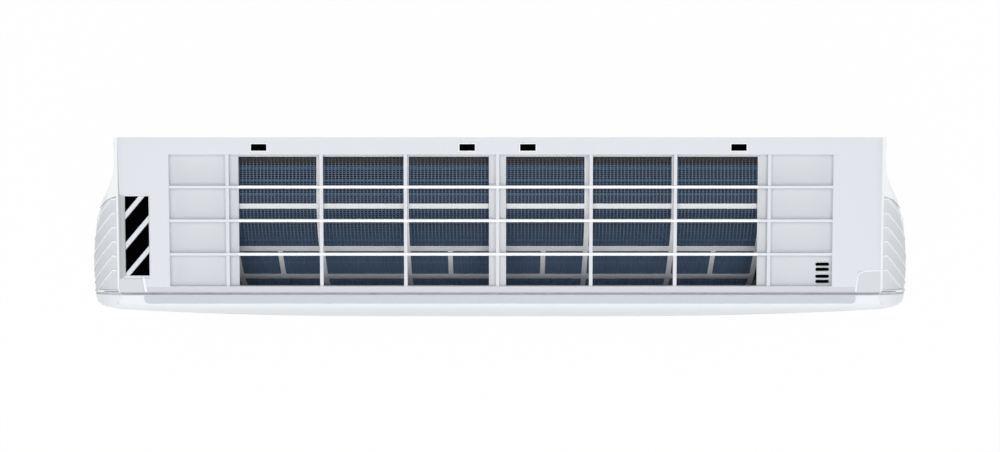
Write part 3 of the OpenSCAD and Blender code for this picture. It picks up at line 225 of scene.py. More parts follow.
class Value:
    """One socket of a material, with the usual arithmetic."""

    def __init__(self, maker, socket):
        self.maker = maker
        self.socket = socket

    def _math(self, operation, first, second=None):
        values = {0: first} if second is None else {0: first, 1: second}
        return self.maker.node("ShaderNodeMath", {"operation": operation}, values)

    def __add__(self, other):
        return self._math("ADD", self, other)

    def __sub__(self, other):
        return self._math("SUBTRACT", self, other)

    def __rsub__(self, other):
        return self._math("SUBTRACT", other, self)

    def __mul__(self, other):
        return self._math("MULTIPLY", self, other)

    def __truediv__(self, other):
        return self._math("DIVIDE", self, other)

    def __gt__(self, other):
        return self._math("GREATER_THAN", self, other)

    def __lt__(self, other):
        return self._math("LESS_THAN", self, other)

    def __abs__(self):
        return self._math("ABSOLUTE", self)

    def wave(self, period, width):
        """1 at each multiple of period, falling to 0 at width from it."""
        away = self._math("PINGPONG", self, period / 2)
        return (1.0 - away / width).clamped()

    def clamped(self):
        return self.maker.node("ShaderNodeClamp", {}, {0: self, 1: 0.0, 2: 1.0})


class Maker:
    """One procedural material under construction."""

    def __init__(self, name):
        self.material = bpy.data.materials.new(name)
        self.material.use_nodes = True
        self.tree = self.material.node_tree
        self.tree.nodes.clear()
        self.place = self.node("ShaderNodeTexCoord", {}, {}, "Object")

    def node(self, kind, settings, values, output=0):
        """Adds a node, sets it up, fills its sockets and returns one of its outputs."""
        made = self.tree.nodes.new(kind)
        for key, value in settings.items():
            setattr(made, key, value)
        for key, value in values.items():
            socket = made.inputs[key]
            if isinstance(value, Value):
                self.tree.links.new(value.socket, socket)
            elif hasattr(socket.default_value, "__len__") and hasattr(value, "__len__"):
                wanted = len(socket.default_value)
                socket.default_value = (*value, 1.0)[:wanted]
            else:
                socket.default_value = value
        return Value(self, made.outputs[output])

    def axis(self, name):
        return self.node("ShaderNodeSeparateXYZ", {}, {0: self.place}, name)

    def along(self, direction):
        """Distance from the origin along a direction."""
        values = {0: self.place, 1: direction}
        return self.node("ShaderNodeVectorMath", {"operation": "DOT_PRODUCT"}, values, "Value")

    def noise(self, scale, detail=2.0, stretch=(1, 1, 1)):
        turned = self.node("ShaderNodeMapping", {}, {"Vector": self.place, "Scale": stretch})
        values = {"Vector": turned, "Scale": scale, "Detail": detail}
        return self.node("ShaderNodeTexNoise", {}, values)

    def cells(self, scale):
        values = {"Vector": self.place, "Scale": scale}
        return self.node("ShaderNodeTexVoronoi", {}, values, "Distance")

    def mix(self, share, low, high):
        return self.node("ShaderNodeMix", {"data_type": "RGBA"}, {0: share, 6: low, 7: high}, 2)

    def bump(self, height, strength, distance=0.0002):
        values = {"Height": height, "Strength": strength, "Distance": distance}
        return self.node("ShaderNodeBump", {}, values)

    def grain(self, strength):
        """The fine grain that a spark-eroded mould leaves on plastic."""
        return self.bump(self.noise(1400.0, 1.0), strength)

    def finish(self, colour, roughness, metallic=0.0, normal=None, **sockets):
        """Ends the material in a shader. Further sockets are named in lower case."""
        values = {"Base Color": colour, "Roughness": roughness, "Metallic": metallic}
        if normal is not None:
            values["Normal"] = normal
        for key, value in sockets.items():
            values[key.replace("_", " ").title().replace("Ior", "IOR")] = value
        shader = self.node("ShaderNodeBsdfPrincipled", {}, values)
        self.node_output(shader)
        return self.material

    def node_output(self, shader):
        output = self.tree.nodes.new("ShaderNodeOutputMaterial")
        self.tree.links.new(shader.socket, output.inputs["Surface"])


def shade(colour, factor):
    """The colour made darker or lighter by a factor."""
    return tuple(min(1.0, c * factor) for c in colour)


def moulded(name, colour, roughness=0.42, grain=0.05, coat=0.0):
    """Injection-moulded plastic with a fine spark-eroded grain and faint flow marks."""
    made = Maker(name)
    flow = made.noise(9.0, 3.0, (0.4, 1, 1))
    tone = made.mix(flow, shade(colour, 0.975), shade(colour, 1.012))
    normal = made.grain(grain)
    rough = made.noise(60.0) * 0.08 + (roughness - 0.04)
    return made.finish(tone, rough, 0.0, normal, coat_weight=coat, coat_roughness=0.08)


def casing_plastic(name, settings):
    """Casing plastic with painted shade along its front rim and over its rounded front lip."""
    made = Maker(name)
    flow = made.noise(9.0, 3.0, (0.4, 1, 1))
    tone = made.mix(flow, shade(settings.plastic, 0.98), shade(settings.plastic, 1.01))
    y = made.axis("Y")
    # Painted shade: darker along the front rim, darker still over the rounded lip
    rim = ((RIM_Y - y) / 0.0008).clamped() * (abs(made.axis("X")) < RIM_HALF)
    tone = made.mix(rim, tone, shade(settings.plastic, 0.86))
    lip = ((LIP_Y - y) / 0.0036).clamped()
    tone = made.mix(lip * 0.9, tone, shade(settings.plastic, 0.8))
    return made.finish(tone, made.noise(60.0) * 0.08 + 0.38, 0.0, made.grain(0.05))


def grille_plastic(name, settings):
    """Grille plastic with a painted highlight: whiter over the windows, a touch lighter than the
    casing over the floor beside them.
    """
    made = Maker(name)
    beside = abs(made.axis("X") - WINDOWS_X) > WINDOWS_HALF
    flow = made.noise(30.0, 2.0)
    bright = made.mix(flow, shade(settings.bright, 0.98), settings.bright)
    tone = made.mix(beside, bright, shade(settings.plastic, 1.03))
    return made.finish(tone, flow * 0.1 + 0.28, 0.0, made.grain(0.04))


def vent_plastic(name, settings):
    """Grey of the shoulder vents; white along the widest line, where the casing's edge shows beyond
    the vent with a painted highlight.
    """
    made = Maker(name)
    widest, half_length, narrowing = -0.134, 0.012, 0.36
    past = (abs(made.axis("Y") - widest) - half_length).clamped()
    # Casing margin beyond the vent, in painted-highlight white
    lit_border = abs(made.axis("X")) > (0.4387 - past * narrowing)
    flow = made.noise(30.0, 2.0)
    tone = made.mix(flow, shade(settings.vent, 0.985), shade(settings.vent, 1.01))
    tone = made.mix(lit_border, tone, settings.bright)
    return made.finish(tone, flow * 0.1 + 0.42, 0.0, made.grain(0.05))


def ribbed_plastic(name, settings):
    """Strip plastic, with painted shade in the grooves between its ribs."""
    made = Maker(name)
    pitch = settings.rib_pitch
    groove_shade = (made.axis("X") + pitch / 2).wave(pitch, pitch * 0.35)
    drift = made.noise(22.0, 2.0, (1, 0.2, 0.2))
    tone = made.mix(drift, shade(settings.strip, 0.97), shade(settings.strip, 1.03))
    # Painted shade in the grooves between the ribs
    tone = made.mix(groove_shade * 0.8, tone, shade(settings.strip, 0.93))
    return made.finish(tone, drift * 0.1 + 0.35)


def fin_coating(name, settings, slope, first):
    """Blue coating of the fins, with painted highlights in patches along the tube rows and at the
    slits.
    """
    made = Maker(name)
    turn = math.radians(slope)
    up = made.along((0.0, math.cos(turn), math.sin(turn))) - first
    # Painted highlights along the tube rows and at the slits
    row = up.wave(settings.row_pitch, ROW_GLINT)
    slits = up.wave(SLIT_PITCH, SLIT_HALF) * 0.12
    patch = made.noise(14.0, 2.0, (0.25, 1, 1))
    share = (row * (patch + 0.35) * 0.25 + slits).clamped()
    drawn = made.noise(420.0, 2.0, (1, 0.1, 0.1))
    base = made.mix(drawn, shade(settings.navy, 0.6), settings.navy)
    return made.finish(made.mix(share, base, settings.painted_glint), 0.45)


def net_thread(name, settings):
    """Net thread with painted shade where the filter runs in under the wall side, and painted light
    that makes it lighter deep down.
    """
    made = Maker(name)
    under = ((made.axis("Y") - NET_SHADE_Y) / 0.002).clamped()
    drift = made.noise(40.0, 2.0)
    tone = made.mix(drift, shade(settings.net, 0.92), shade(settings.net, 1.05))
    # Painted shade where the net goes in under the wall side
    tone = made.mix(under, tone, settings.painted_net_shade)
    # Painted light: the net lighter deep down
    deep = ((NET_DEEP_Z - made.axis("Z")) / 0.06).clamped()
    tone = made.mix(deep, tone, shade(settings.net, 1.8))
    return made.finish(tone, drift * 0.1 + 0.5)


def rib_plastic(name, settings):
    """Filter plastic, with a painted shade where it lies close under the grille."""
    made = Maker(name)
    high = ((made.axis("Z") - RIB_SHADE_Z) / 0.03).clamped()
    # Painted shade on the ribs close under the grille
    tone = made.mix(high, settings.rib, shade(settings.rib, 0.86))
    flow = made.noise(60.0)
    return made.finish(tone, flow * 0.08 + 0.42, 0.0, made.grain(0.04))


def collar_coating(name, settings):
    """Blue of the collars that close the gaps between fins round a tube."""
    made = Maker(name)
    rings = made.axis("X").wave(settings.pitch, settings.pitch * 0.4)
    patch = made.noise(16.0, 2.0, (0.3, 1, 1))
    share = (rings * 0.3 + patch * 0.5).clamped()
    tone = made.mix(share, shade(settings.navy, 1.2), shade(settings.navy, 0.7))
    return made.finish(tone, 0.3, 0.0, made.bump(rings, 0.2))


def band_coating(name, settings):
    """Painted highlight on fin edges in the light: fine rings along the pack, fading in and out."""
    made = Maker(name)
    rings = made.axis("X").wave(settings.pitch, settings.pitch * 0.4)
    patch = made.noise(11.0, 2.0, (0.4, 1, 1))
    share = (rings * 0.1 + patch * 0.2).clamped()
    tone = made.mix(share, settings.painted_glint, shade(settings.painted_glint, 0.6))
    return made.finish(tone, 0.3, 0.0, made.bump(rings, 0.2))


def sheet_metal(name, colour, roughness=0.38, spangle=0.25):
    """Zinc-coated sheet with crystal patches and rolling marks."""
    made = Maker(name)
    crystal = made.cells(240.0)
    tone = made.mix(crystal * 1.4, shade(colour, 1 - spangle), shade(colour, 1 + spangle))
    rolled = made.noise(300.0, 2.0, (0.05, 1, 1))
    return made.finish(tone, crystal * 0.2 + roughness, 0.9, made.bump(rolled, 0.06))


def turned_metal(name, colour, roughness=0.28, tarnish=0.3):
    """Drawn or turned metal, a little darker where it has been handled."""
    made = Maker(name)
    stain = made.noise(38.0, 4.0)
    tone = made.mix(stain, shade(colour, 1 - tarnish), shade(colour, 1.08))
    lines = made.noise(900.0, 1.0, (0.15, 1, 1))
    return made.finish(tone, stain * 0.25 + roughness, 0.95, made.bump(lines, 0.05, 0.0001))


def cell_foam(name, colour):
    """Closed-cell pipe foam."""
    made = Maker(name)
    cell = made.cells(620.0)
    tone = made.mix(cell, shade(colour, 0.9), colour)
    return made.finish(tone, 0.85, 0.0, made.bump(cell, 0.35, 0.0006))


def circuit(name, colour, copper):
    """Solder mask over copper tracks, with bright solder points."""
    made = Maker(name)
    grid = made.axis("Y").wave(0.0052, 0.0007) + made.axis("Z").wave(0.0064, 0.0007)
    tracks = grid.clamped() * (made.noise(60.0, 0.0) > 0.47)
    tone = made.mix(tracks, shade(colour, 0.75), shade(colour, 1.5))
    dots = made.cells(230.0) < 0.16
    return made.finish(made.mix(dots, tone, copper), 0.32, 0.0, made.bump(tracks, 0.3, 0.0003))


def rubber(name, colour):
    """Matte rubber with bloom."""
    made = Maker(name)
    bloom = made.noise(120.0, 3.0)
    tone = made.mix(bloom, colour, shade(colour, 1.9))
    return made.finish(tone, bloom * 0.2 + 0.62, 0.0, made.bump(made.noise(1700.0), 0.12))


# Mesh helpers


def active():
    return bpy.context.view_layer.objects.active


def freeze():
    """Moves the active piece's place, turn and scale into its mesh."""
    bpy.ops.object.transform_apply(location=True, rotation=True, scale=True)


def deselect():
    if bpy.context.mode != "OBJECT":
        bpy.ops.object.mode_set(mode="OBJECT")
    bpy.ops.object.select_all(action="DESELECT")


def activate(piece):
    deselect()
    piece.select_set(True)
    bpy.context.view_layer.objects.active = piece


def edit(piece, select=True):
    activate(piece)
    bpy.ops.object.mode_set(mode="EDIT")
    bpy.ops.mesh.select_all(action="SELECT" if select else "DESELECT")


def edit_selected(piece):
    """Edit mode with the faces that are already picked in code."""
    activate(piece)
    bpy.ops.object.mode_set(mode="EDIT")
    bpy.ops.mesh.select_mode(type="FACE")


def leave():
    bpy.ops.object.mode_set(mode="OBJECT")


def apply(piece, kind, **settings):
    """Adds a modifier, sets it and applies it."""
    activate(piece)
    modifier = piece.modifiers.new(kind.title(), kind)
    for key, value in settings.items():
        setattr(modifier, key, value)
    bpy.ops.object.modifier_apply(modifier=modifier.name)


def repeat(piece, count, pitch):
    """Repeats a piece along the unit."""
    apply(
        piece, "ARRAY", count=count, use_relative_offset=False,
        use_constant_offset=True, constant_offset_displace=(pitch, 0.0, 0.0),
    )


def merged_copy(name, node):
    """A CAD node's shape as a piece of its own, with whole faces in place of loose triangles."""
    piece = bpy.data.objects.new(name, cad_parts[node].data.copy())
    bpy.context.scene.collection.objects.link(piece)
    piece.data.materials.clear()
    activate(piece)
    if piece.data.has_custom_normals:
        bpy.ops.mesh.customdata_custom_splitnormals_clear()
    edit(piece)
    bpy.ops.mesh.remove_doubles(threshold=2e-6)
    bpy.ops.mesh.dissolve_limited(angle_limit=math.radians(0.4))
    leave()
    return piece


def smooth(piece, angle=38):
    activate(piece)
    bpy.ops.object.shade_smooth_by_angle(angle=math.radians(angle))
    apply(piece, "WEIGHTED_NORMAL", mode="FACE_AREA", weight=50, keep_sharp=True)


def rounded(piece, width, segments=2, angle=32):
    """Rounds the edges. Long thin faces are split first, so that no face folds over."""
    edit(piece)
    bpy.ops.mesh.quads_convert_to_tris(quad_method="BEAUTY", ngon_method="BEAUTY")
    leave()
    apply(
        piece, "BEVEL", width=width, segments=segments, limit_method="ANGLE",
        angle_limit=math.radians(angle), use_clamp_overlap=False,
        miter_outer="MITER_SHARP", loop_slide=False,
    )
    smooth(piece)


def settle(piece, body, slot, *nodes):
    """Puts a finished piece on its body, in the place of the nodes it stands for."""
    deselect()
    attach(piece, body)
    if nodes:
        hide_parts(*nodes)
    return piece


def dress(name, node, body, slot, material, width, segments=2, angle=32):
    """A node with rounded edges and its own material."""
    piece = merged_copy(name, node)
    rounded(piece, width, segments, angle)
    piece.data.materials.append(material)
    return settle(piece, body, slot, node)


def paint(material, *nodes):
    """Gives CAD nodes that stay in view a material of their own."""
    for node in nodes:
        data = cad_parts[node].data
        if not data.materials:
            data.materials.append(material)
        for index in range(len(data.materials)):
            data.materials[index] = material


def box_piece(name, low, high):
    """A block between two corners, with its place in its mesh."""
    deselect()
    middle = [(a + b) / 2 for a, b in zip(low, high)]
    bpy.ops.mesh.primitive_cube_add(size=1.0, location=middle)
    piece = active()
    piece.name = name
    piece.scale = [b - a for a, b in zip(low, high)]
    freeze()
    return piece


def join(name, pieces):
    deselect()
    for piece in pieces:
        piece.select_set(True)
    bpy.context.view_layer.objects.active = pieces[0]
    bpy.ops.object.join()
    pieces[0].name = name
    return pieces[0]


def bead(name, places, width, height):
    """A raised line through some places, with rounded edges."""
    parts = []
    for start, end in zip(places, places[1:]):
        way = end - start
        deselect()
        bpy.ops.mesh.primitive_cube_add(size=1.0)
        part = active()
        part.scale = (way.length + width * 0.4, width, height)
        part.rotation_euler = way.to_track_quat("X", "Z").to_euler()
        part.location = (start + end) / 2
        freeze()
        parts.append(part)
    whole = join(name, parts)
    rounded(whole, height * 0.4, 2)
    return whole


def top_at(y):
    """Height of the casing's top surface at a distance from the wall."""
    return TOP_Z + y * TOP_SLOPE


def filter_path(step):
    """Points of a filter's centre line, back to front, with the direction at each.

    It runs level from the back, bends down, runs straight on a slope, bends again and
    ends upright at the front.
    """
    back, turn_y, top = -0.0125, -0.055, 0.125
    first, second, slope = 0.072, 0.1106, math.radians(55)
    front, low = -0.16, -0.059
    bends = first * math.sin(slope) + second * (1 - math.sin(slope))
    straight = (turn_y - front - bends) / math.cos(slope)
    lengths = [back - turn_y, first * slope, straight, second * (math.pi / 2 - slope)]
    start = Vector((turn_y - first * math.sin(slope), top - first * (1 - math.cos(slope))))
    end = start + straight * Vector((-math.cos(slope), -math.sin(slope)))
    centre = end + second * Vector((math.sin(slope), -math.cos(slope)))
    lengths.append(centre.y - low)
    total = sum(lengths)
    count = int(total / step)
    points = []
    for index in range(count + 1):
        s = index * total / count
        if s <= lengths[0]:
            points.append((Vector((back - s, top)), 0.0))
            continue
        s -= lengths[0]
        if s <= lengths[1]:
            angle = s / first
            y, z = turn_y - first * math.sin(angle), top - first * (1 - math.cos(angle))
            points.append((Vector((y, z)), angle))
            continue
        s -= lengths[1]
        if s <= lengths[2]:
            points.append((start + s / straight * (end - start), slope))
            continue
        s -= lengths[2]
        if s <= lengths[3]:
            angle = slope + s / second
            place = centre + second * Vector((-math.sin(angle), math.cos(angle)))
            points.append((place, angle))
            continue
        s -= lengths[3]
        points.append((Vector((centre.x - second, centre.y - s)), math.pi / 2))
    return points


# Operators


class UNIT_OT_stage(bpy.types.Operator):
    """Adds the camera, the floor and the soft studio light"""

    bl_idname = "unit.stage"
    bl_label = "Stage"

    def execute(self, context):
        settings = context.scene.unit_stage
        scene = context.scene
        scene.view_settings.view_transform = "Standard"
        camera_data = bpy.data.cameras.new("Camera")
        camera_data.sensor_width = SENSOR_WIDTH
        distance = settings.camera_z - TOP_Z
        camera_data.lens = SENSOR_WIDTH * distance / settings.view_width
        camera = bpy.data.objects.new("Camera", camera_data)
        scene.collection.objects.link(camera)
        camera.location = (0.0, UNIT_Y, settings.camera_z)
        scene.camera = camera
        self.floor(settings)
        self.sky(scene, settings)
        self.lamp(scene, "Overhead", (0.0, -0.3, 2.9), (0.0, 0.0, 0.0), 2.6, settings.lamp)
        for name, place, turn, size, share in SOFTBOXES:
            self.lamp(scene, name, place, turn, size, settings.side_lamp * share)
        return {"FINISHED"}

    def floor(self, settings):
        """A pale floor that keeps its shadow in the light and is white to the camera."""
        deselect()
        bpy.ops.mesh.primitive_plane_add(size=14.0, location=(0.0, 0.0, settings.floor_z))
        floor = active()
        floor.name = "studio_floor"
        freeze()
        made = Maker("studio floor")
        grey = made.noise(3.0)
        tone = made.mix(grey, (0.86, 0.86, 0.865), (0.9, 0.9, 0.9))
        body = made.node("ShaderNodeBsdfDiffuse", {}, {"Color": tone})
        glow = made.node("ShaderNodeEmission", {}, {"Color": (1.0, 1.0, 1.0), "Strength": 1.0})
        camera, glossy, through = (
            made.node("ShaderNodeLightPath", {}, {}, ray)
            for ray in ("Is Camera Ray", "Is Glossy Ray", "Is Transmission Ray")
        )
        seen = (camera + glossy + through).clamped()
        shader = made.node("ShaderNodeMixShader", {}, {0: seen * 0.98, 1: body, 2: glow})
        made.node_output(shader)
        floor.data.materials.append(made.material)

    def sky(self, scene, settings):
        """Even light from all round, with a white background behind the unit."""
        world = bpy.data.worlds.new("Studio")
        world.use_nodes = True
        tree = world.node_tree
        tree.nodes.clear()
        path, even, white, mixed, output = (
            tree.nodes.new("ShaderNode" + kind)
            for kind in ("LightPath", "Background", "Background", "MixShader", "OutputWorld")
        )
        even.inputs["Color"].default_value = (0.97, 0.985, 1.0, 1.0)
        even.inputs["Strength"].default_value = settings.sky
        white.inputs["Color"].default_value = (1.0, 1.0, 1.0, 1.0)
        tree.links.new(path.outputs["Is Camera Ray"], mixed.inputs[0])
        tree.links.new(even.outputs[0], mixed.inputs[1])
        tree.links.new(white.outputs[0], mixed.inputs[2])
        tree.links.new(mixed.outputs[0], output.inputs["Surface"])
        scene.world = world

    def lamp(self, scene, name, place, turn, size, power):
        """A square softbox, turned by degrees about each axis."""
        data = bpy.data.lights.new(name, "AREA")
        data.shape = "SQUARE"
        data.size = size
        data.energy = power
        lamp = bpy.data.objects.new(name, data)
        scene.collection.objects.link(lamp)
        lamp.location = place
        lamp.rotation_euler = [math.radians(angle) for angle in turn]


class UNIT_OT_casing(bpy.types.Operator):
    """Adds the casing with its grille, shoulder vents, screw caps and black pads that stand in for
    the shade inside its openings
    """

    bl_idname = "unit.casing"
    bl_label = "Casing"

    def execute(self, context):
        settings = context.scene.unit_casing
        shell = merged_copy("casing_shell", "front_frame")
        rounded(shell, settings.edge)
        edge = moulded("edge painted highlight", settings.edge_highlight, 0.35)
        # Casing plastic with painted shade at its front, then painted highlight and painted shade
        # copies of it
        for material in (
            casing_plastic("casing plastic", settings),
            grille_plastic("grille painted highlight", settings),
            moulded("recess painted shade", settings.floor, 0.5),
            edge,
            moulded("step painted shade", shade(settings.floor, 0.72), 0.5),
        ):
            shell.data.materials.append(material)
        for face in shell.data.polygons:
            face.material_index = self.tone_of(face)
        settle(shell, "unit", "casing_white", "front_frame")
        vent = vent_plastic("vent plastic", settings)
        # Painted highlight: the vent ribs in pure white, a lit copy of the vent's grey
        ridge = moulded("ridge painted highlight", (1.0, 1.0, 1.0), 0.3)
        for side in ("left", "right"):
            node = "side_vent_" + side
            piece = dress("shoulder_vent_" + side, node, "unit", "vent_grey", vent, 0.0002)
            piece.data.materials.append(ridge)
            for face in piece.data.polygons:
                face.material_index = int(self.on_rib(abs(face.center.x), face.center.y))
        caps = shell.data.materials[CASING]
        dress("screw_cap_discs", "screw_caps", "unit", "casing_white", caps, 0.0002)
        self.liners()
        self.beads(edge)
        return {"FINISHED"}

    def tone_of(self, face):
        """Which of the casing's five materials a face has, by its place."""
        x, y, z = face.center
        deep = top_at(y) - z
        by_slot = any(abs(x - slot) < 0.0097 for slot in WALL_SLOTS) and abs(y - SLOT_Y) < 0.0052
        # Rims round the wall slots take the grille's painted highlight
        if by_slot and deep < -0.00015:
            return GRILLE_LIT
        side, front, back = SLANT
        by_slant = -0.4 < x < side + 0.0005 and front - 0.001 < y < back + 0.001
        # The slanted window's shallow step gets a darker painted shade
        if by_slant and 0.0006 < deep < 0.003:
            return STEP_SHADE
        lowered = x > 0.375 and y < -0.1405 or x < -0.3745 and y < -0.1475
        # Lowered corner patches get the recess floor's painted shade
        if lowered and 0.0004 < deep < 0.001:
            return FLOOR_SHADE
        # Rounded side edges get a painted highlight
        if abs(x) > 0.4003 and z > 0.1 and face.normal.z > 0.3:
            return SIDE_EDGE_LIT
        left, right, back, front = RECESS
        if not (left - 0.002 < x < right + 0.002 and front - 0.002 < y < back + 0.002):
            return CASING
        # The recess floor gets a painted shade
        if face.normal.z > 0.9 and deep > RECESS_DEEP - 0.001:
            return FLOOR_SHADE
        # Grille bars take a painted highlight
        across = face.normal.z > 0.5 and 0.0006 < deep < 0.00142 or abs(face.normal.y) > 0.5
        if across and 0.0006 < deep < RECESS_DEEP and front + 0.001 < y < back - 0.001:
            return GRILLE_LIT
        return CASING

    def on_rib(self, x, y):
        """Whether a place on a shoulder lies on one of the vent's ribs."""
        for index in range(VENT_RIBS):
            edge = VENT_RIB_Y - VENT_RIB_PITCH * index - max(0.0, x - VENT_BEND_X)
            if edge - VENT_RIB_WIDTH < y < edge + 0.0001:
                return True
        return False

    def liners(self):
        """Black pads under the small openings: a painted shade that keeps the inside dark."""
        # Painted shade: black pads standing in for the dark inside below the openings
        made = Maker("black painted shade")
        pile = made.noise(900.0)
        black = made.mix(pile, (0.0005, 0.0005, 0.0006), (0.0016, 0.0016, 0.0018))
        shade_felt = made.finish(black, 0.95, 0.0, made.bump(pile, 0.3), specular_ior_level=0.02)
        pads = [((x - 0.011, -0.0172, 0.1352), (x + 0.011, -0.0050, 0.1362)) for x in WALL_SLOTS]
        for index, (low, high) in enumerate([*pads, *PADS]):
            pad = box_piece("shade_pad_%d" % (index + 1), low, high)
            edit(pad, False)
            leave()
            for face in pad.data.polygons:
                face.select = face.normal.z > 0.9
            edit_selected(pad)
            bpy.ops.mesh.inset(thickness=0.001, depth=-0.0002)
            leave()
            rounded(pad, 0.0002, 1)
            pad.data.materials.append(shade_felt)
            settle(pad, "unit", "rubber_black")

    def beads(self, plastic):
        """Raised lines beside the lowered corners of the top, in the side edges' painted-highlight
        white.
        """
        for name, width, points in CORNER_BEADS:
            places = [Vector((x, y, top_at(y) - 0.0002)) for x, y in points]
            piece = bead(name, places, width, 0.0006)
            piece.data.materials.append(plastic)
            settle(piece, "unit", "casing_white")


class UNIT_OT_panel(bpy.types.Operator):
    """Adds the front panel with its ribbed strip, hinge arms and button"""

    bl_idname = "unit.panel"
    bl_label = "Front panel"

    def execute(self, context):
        settings = context.scene.unit_casing
        gloss = moulded("panel plastic", settings.panel, 0.3, 0.01)
        edge = settings.soft_edge
        dress("panel_shell", "front_panel", "panel", "panel_white", gloss, edge, 3, 14)
        dress("panel_arms", "panel_hinges", "panel", "panel_white", gloss, 0.0003)
        self.strip(settings)
        self.lines(settings)
        button = moulded("button plastic", settings.vent, 0.35)
        dress("button_cap", "power_button", "button", "vent_grey", button, 0.0005, 3)
        return {"FINISHED"}

    def strip(self, settings):
        """The strip with rounded front corners and fine ribs across it."""
        low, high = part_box("panel_top_strip")
        plate = merged_copy("panel_strip", "panel_top_strip")
        edit(plate, False)
        bpy.ops.mesh.select_mode(type="EDGE")
        leave()
        points = plate.data.vertices
        for edge in plate.data.edges:
            a, b = (points[i].co for i in edge.vertices)
            upright = abs(a.z - b.z) > 0.0004
            straight = abs(a.x - b.x) < 1e-5 and abs(a.y - b.y) < 0.0004
            edge.select = upright and straight and a.y < (low.y + high.y) / 2
        bpy.ops.object.mode_set(mode="EDIT")
        bpy.ops.mesh.bevel(offset=STRIP_CORNER, segments=6, affect="EDGES")
        leave()
        middle = Vector((0.0, (low.y + high.y) / 2, (low.z + high.z) / 2))
        start = low.x + STRIP_END
        half_width, half_length = 0.00045, 0.0038
        rib = box_piece(
            "rib",
            (start - half_width, middle.y - half_length, middle.z + 0.00015),
            (start + half_width, middle.y + half_length, middle.z + 0.00045),
        )
        edit(rib)
        bpy.ops.transform.rotate(value=-STRIP_SLOPE, orient_axis="X", center_override=middle)
        leave()
        count = int((high.x - low.x - 2 * STRIP_END) / settings.rib_pitch)
        repeat(rib, count, settings.rib_pitch)
        whole = join("panel_strip", [plate, rib])
        smooth(whole, 30)
        whole.data.materials.append(ribbed_plastic("strip plastic", settings))
        settle(whole, "panel", "strip_grey", "panel_top_strip")

    def lines(self, settings):
        """The grey rubber lip in the seam, which stands in for the seam's soft shadow line, and the
        light bead round the strip, whose white is a painted highlight.
        """
        low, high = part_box("panel_top_strip")
        lip = box_piece("seam_shade_lip", *SEAM_SHADE_LIP)
        rounded(lip, 0.0002, 1)
        parts = [lip]
        for side in (-1, 1):
            for points, y, width in SEAM_SHADE_ENDS:
                places = [Vector((side * x, y, z)) for x, z in points]
                parts.append(bead("seam_shade_end", places, width, 0.0008))
        lip = join("seam_shade_lip", parts)
        # Painted shade: the grey of the seam's soft shadow line
        lip.data.materials.append(rubber("seam shade lip", linear(170, 172, 176)))
        settle(lip, "panel", "strip_grey")
        out = 0.0007
        radius = STRIP_CORNER + out
        centre_x, centre_y = high.x - STRIP_CORNER, low.y + STRIP_CORNER
        right = [(high.x + out, high.y - 0.0006)]
        for angle in range(0, 91, 15):
            turn = math.radians(angle)
            right.append((centre_x + radius * math.cos(turn), centre_y - radius * math.sin(turn)))
        path = [*right, *((-x, y) for x, y in reversed(right))]
        rise = math.tan(STRIP_SLOPE)
        places = [Vector((x, y, high.z + (y - high.y) * rise - 0.0001)) for x, y in path]
        line = bead("strip_bead", places, 0.0009, 0.0005)
        # Painted highlight: the bead in the brighter white of the grille bars
        line.data.materials.append(moulded("bead painted highlight", settings.bright, 0.2, 0.01, 0.5))
        settle(line, "panel", "panel_white")


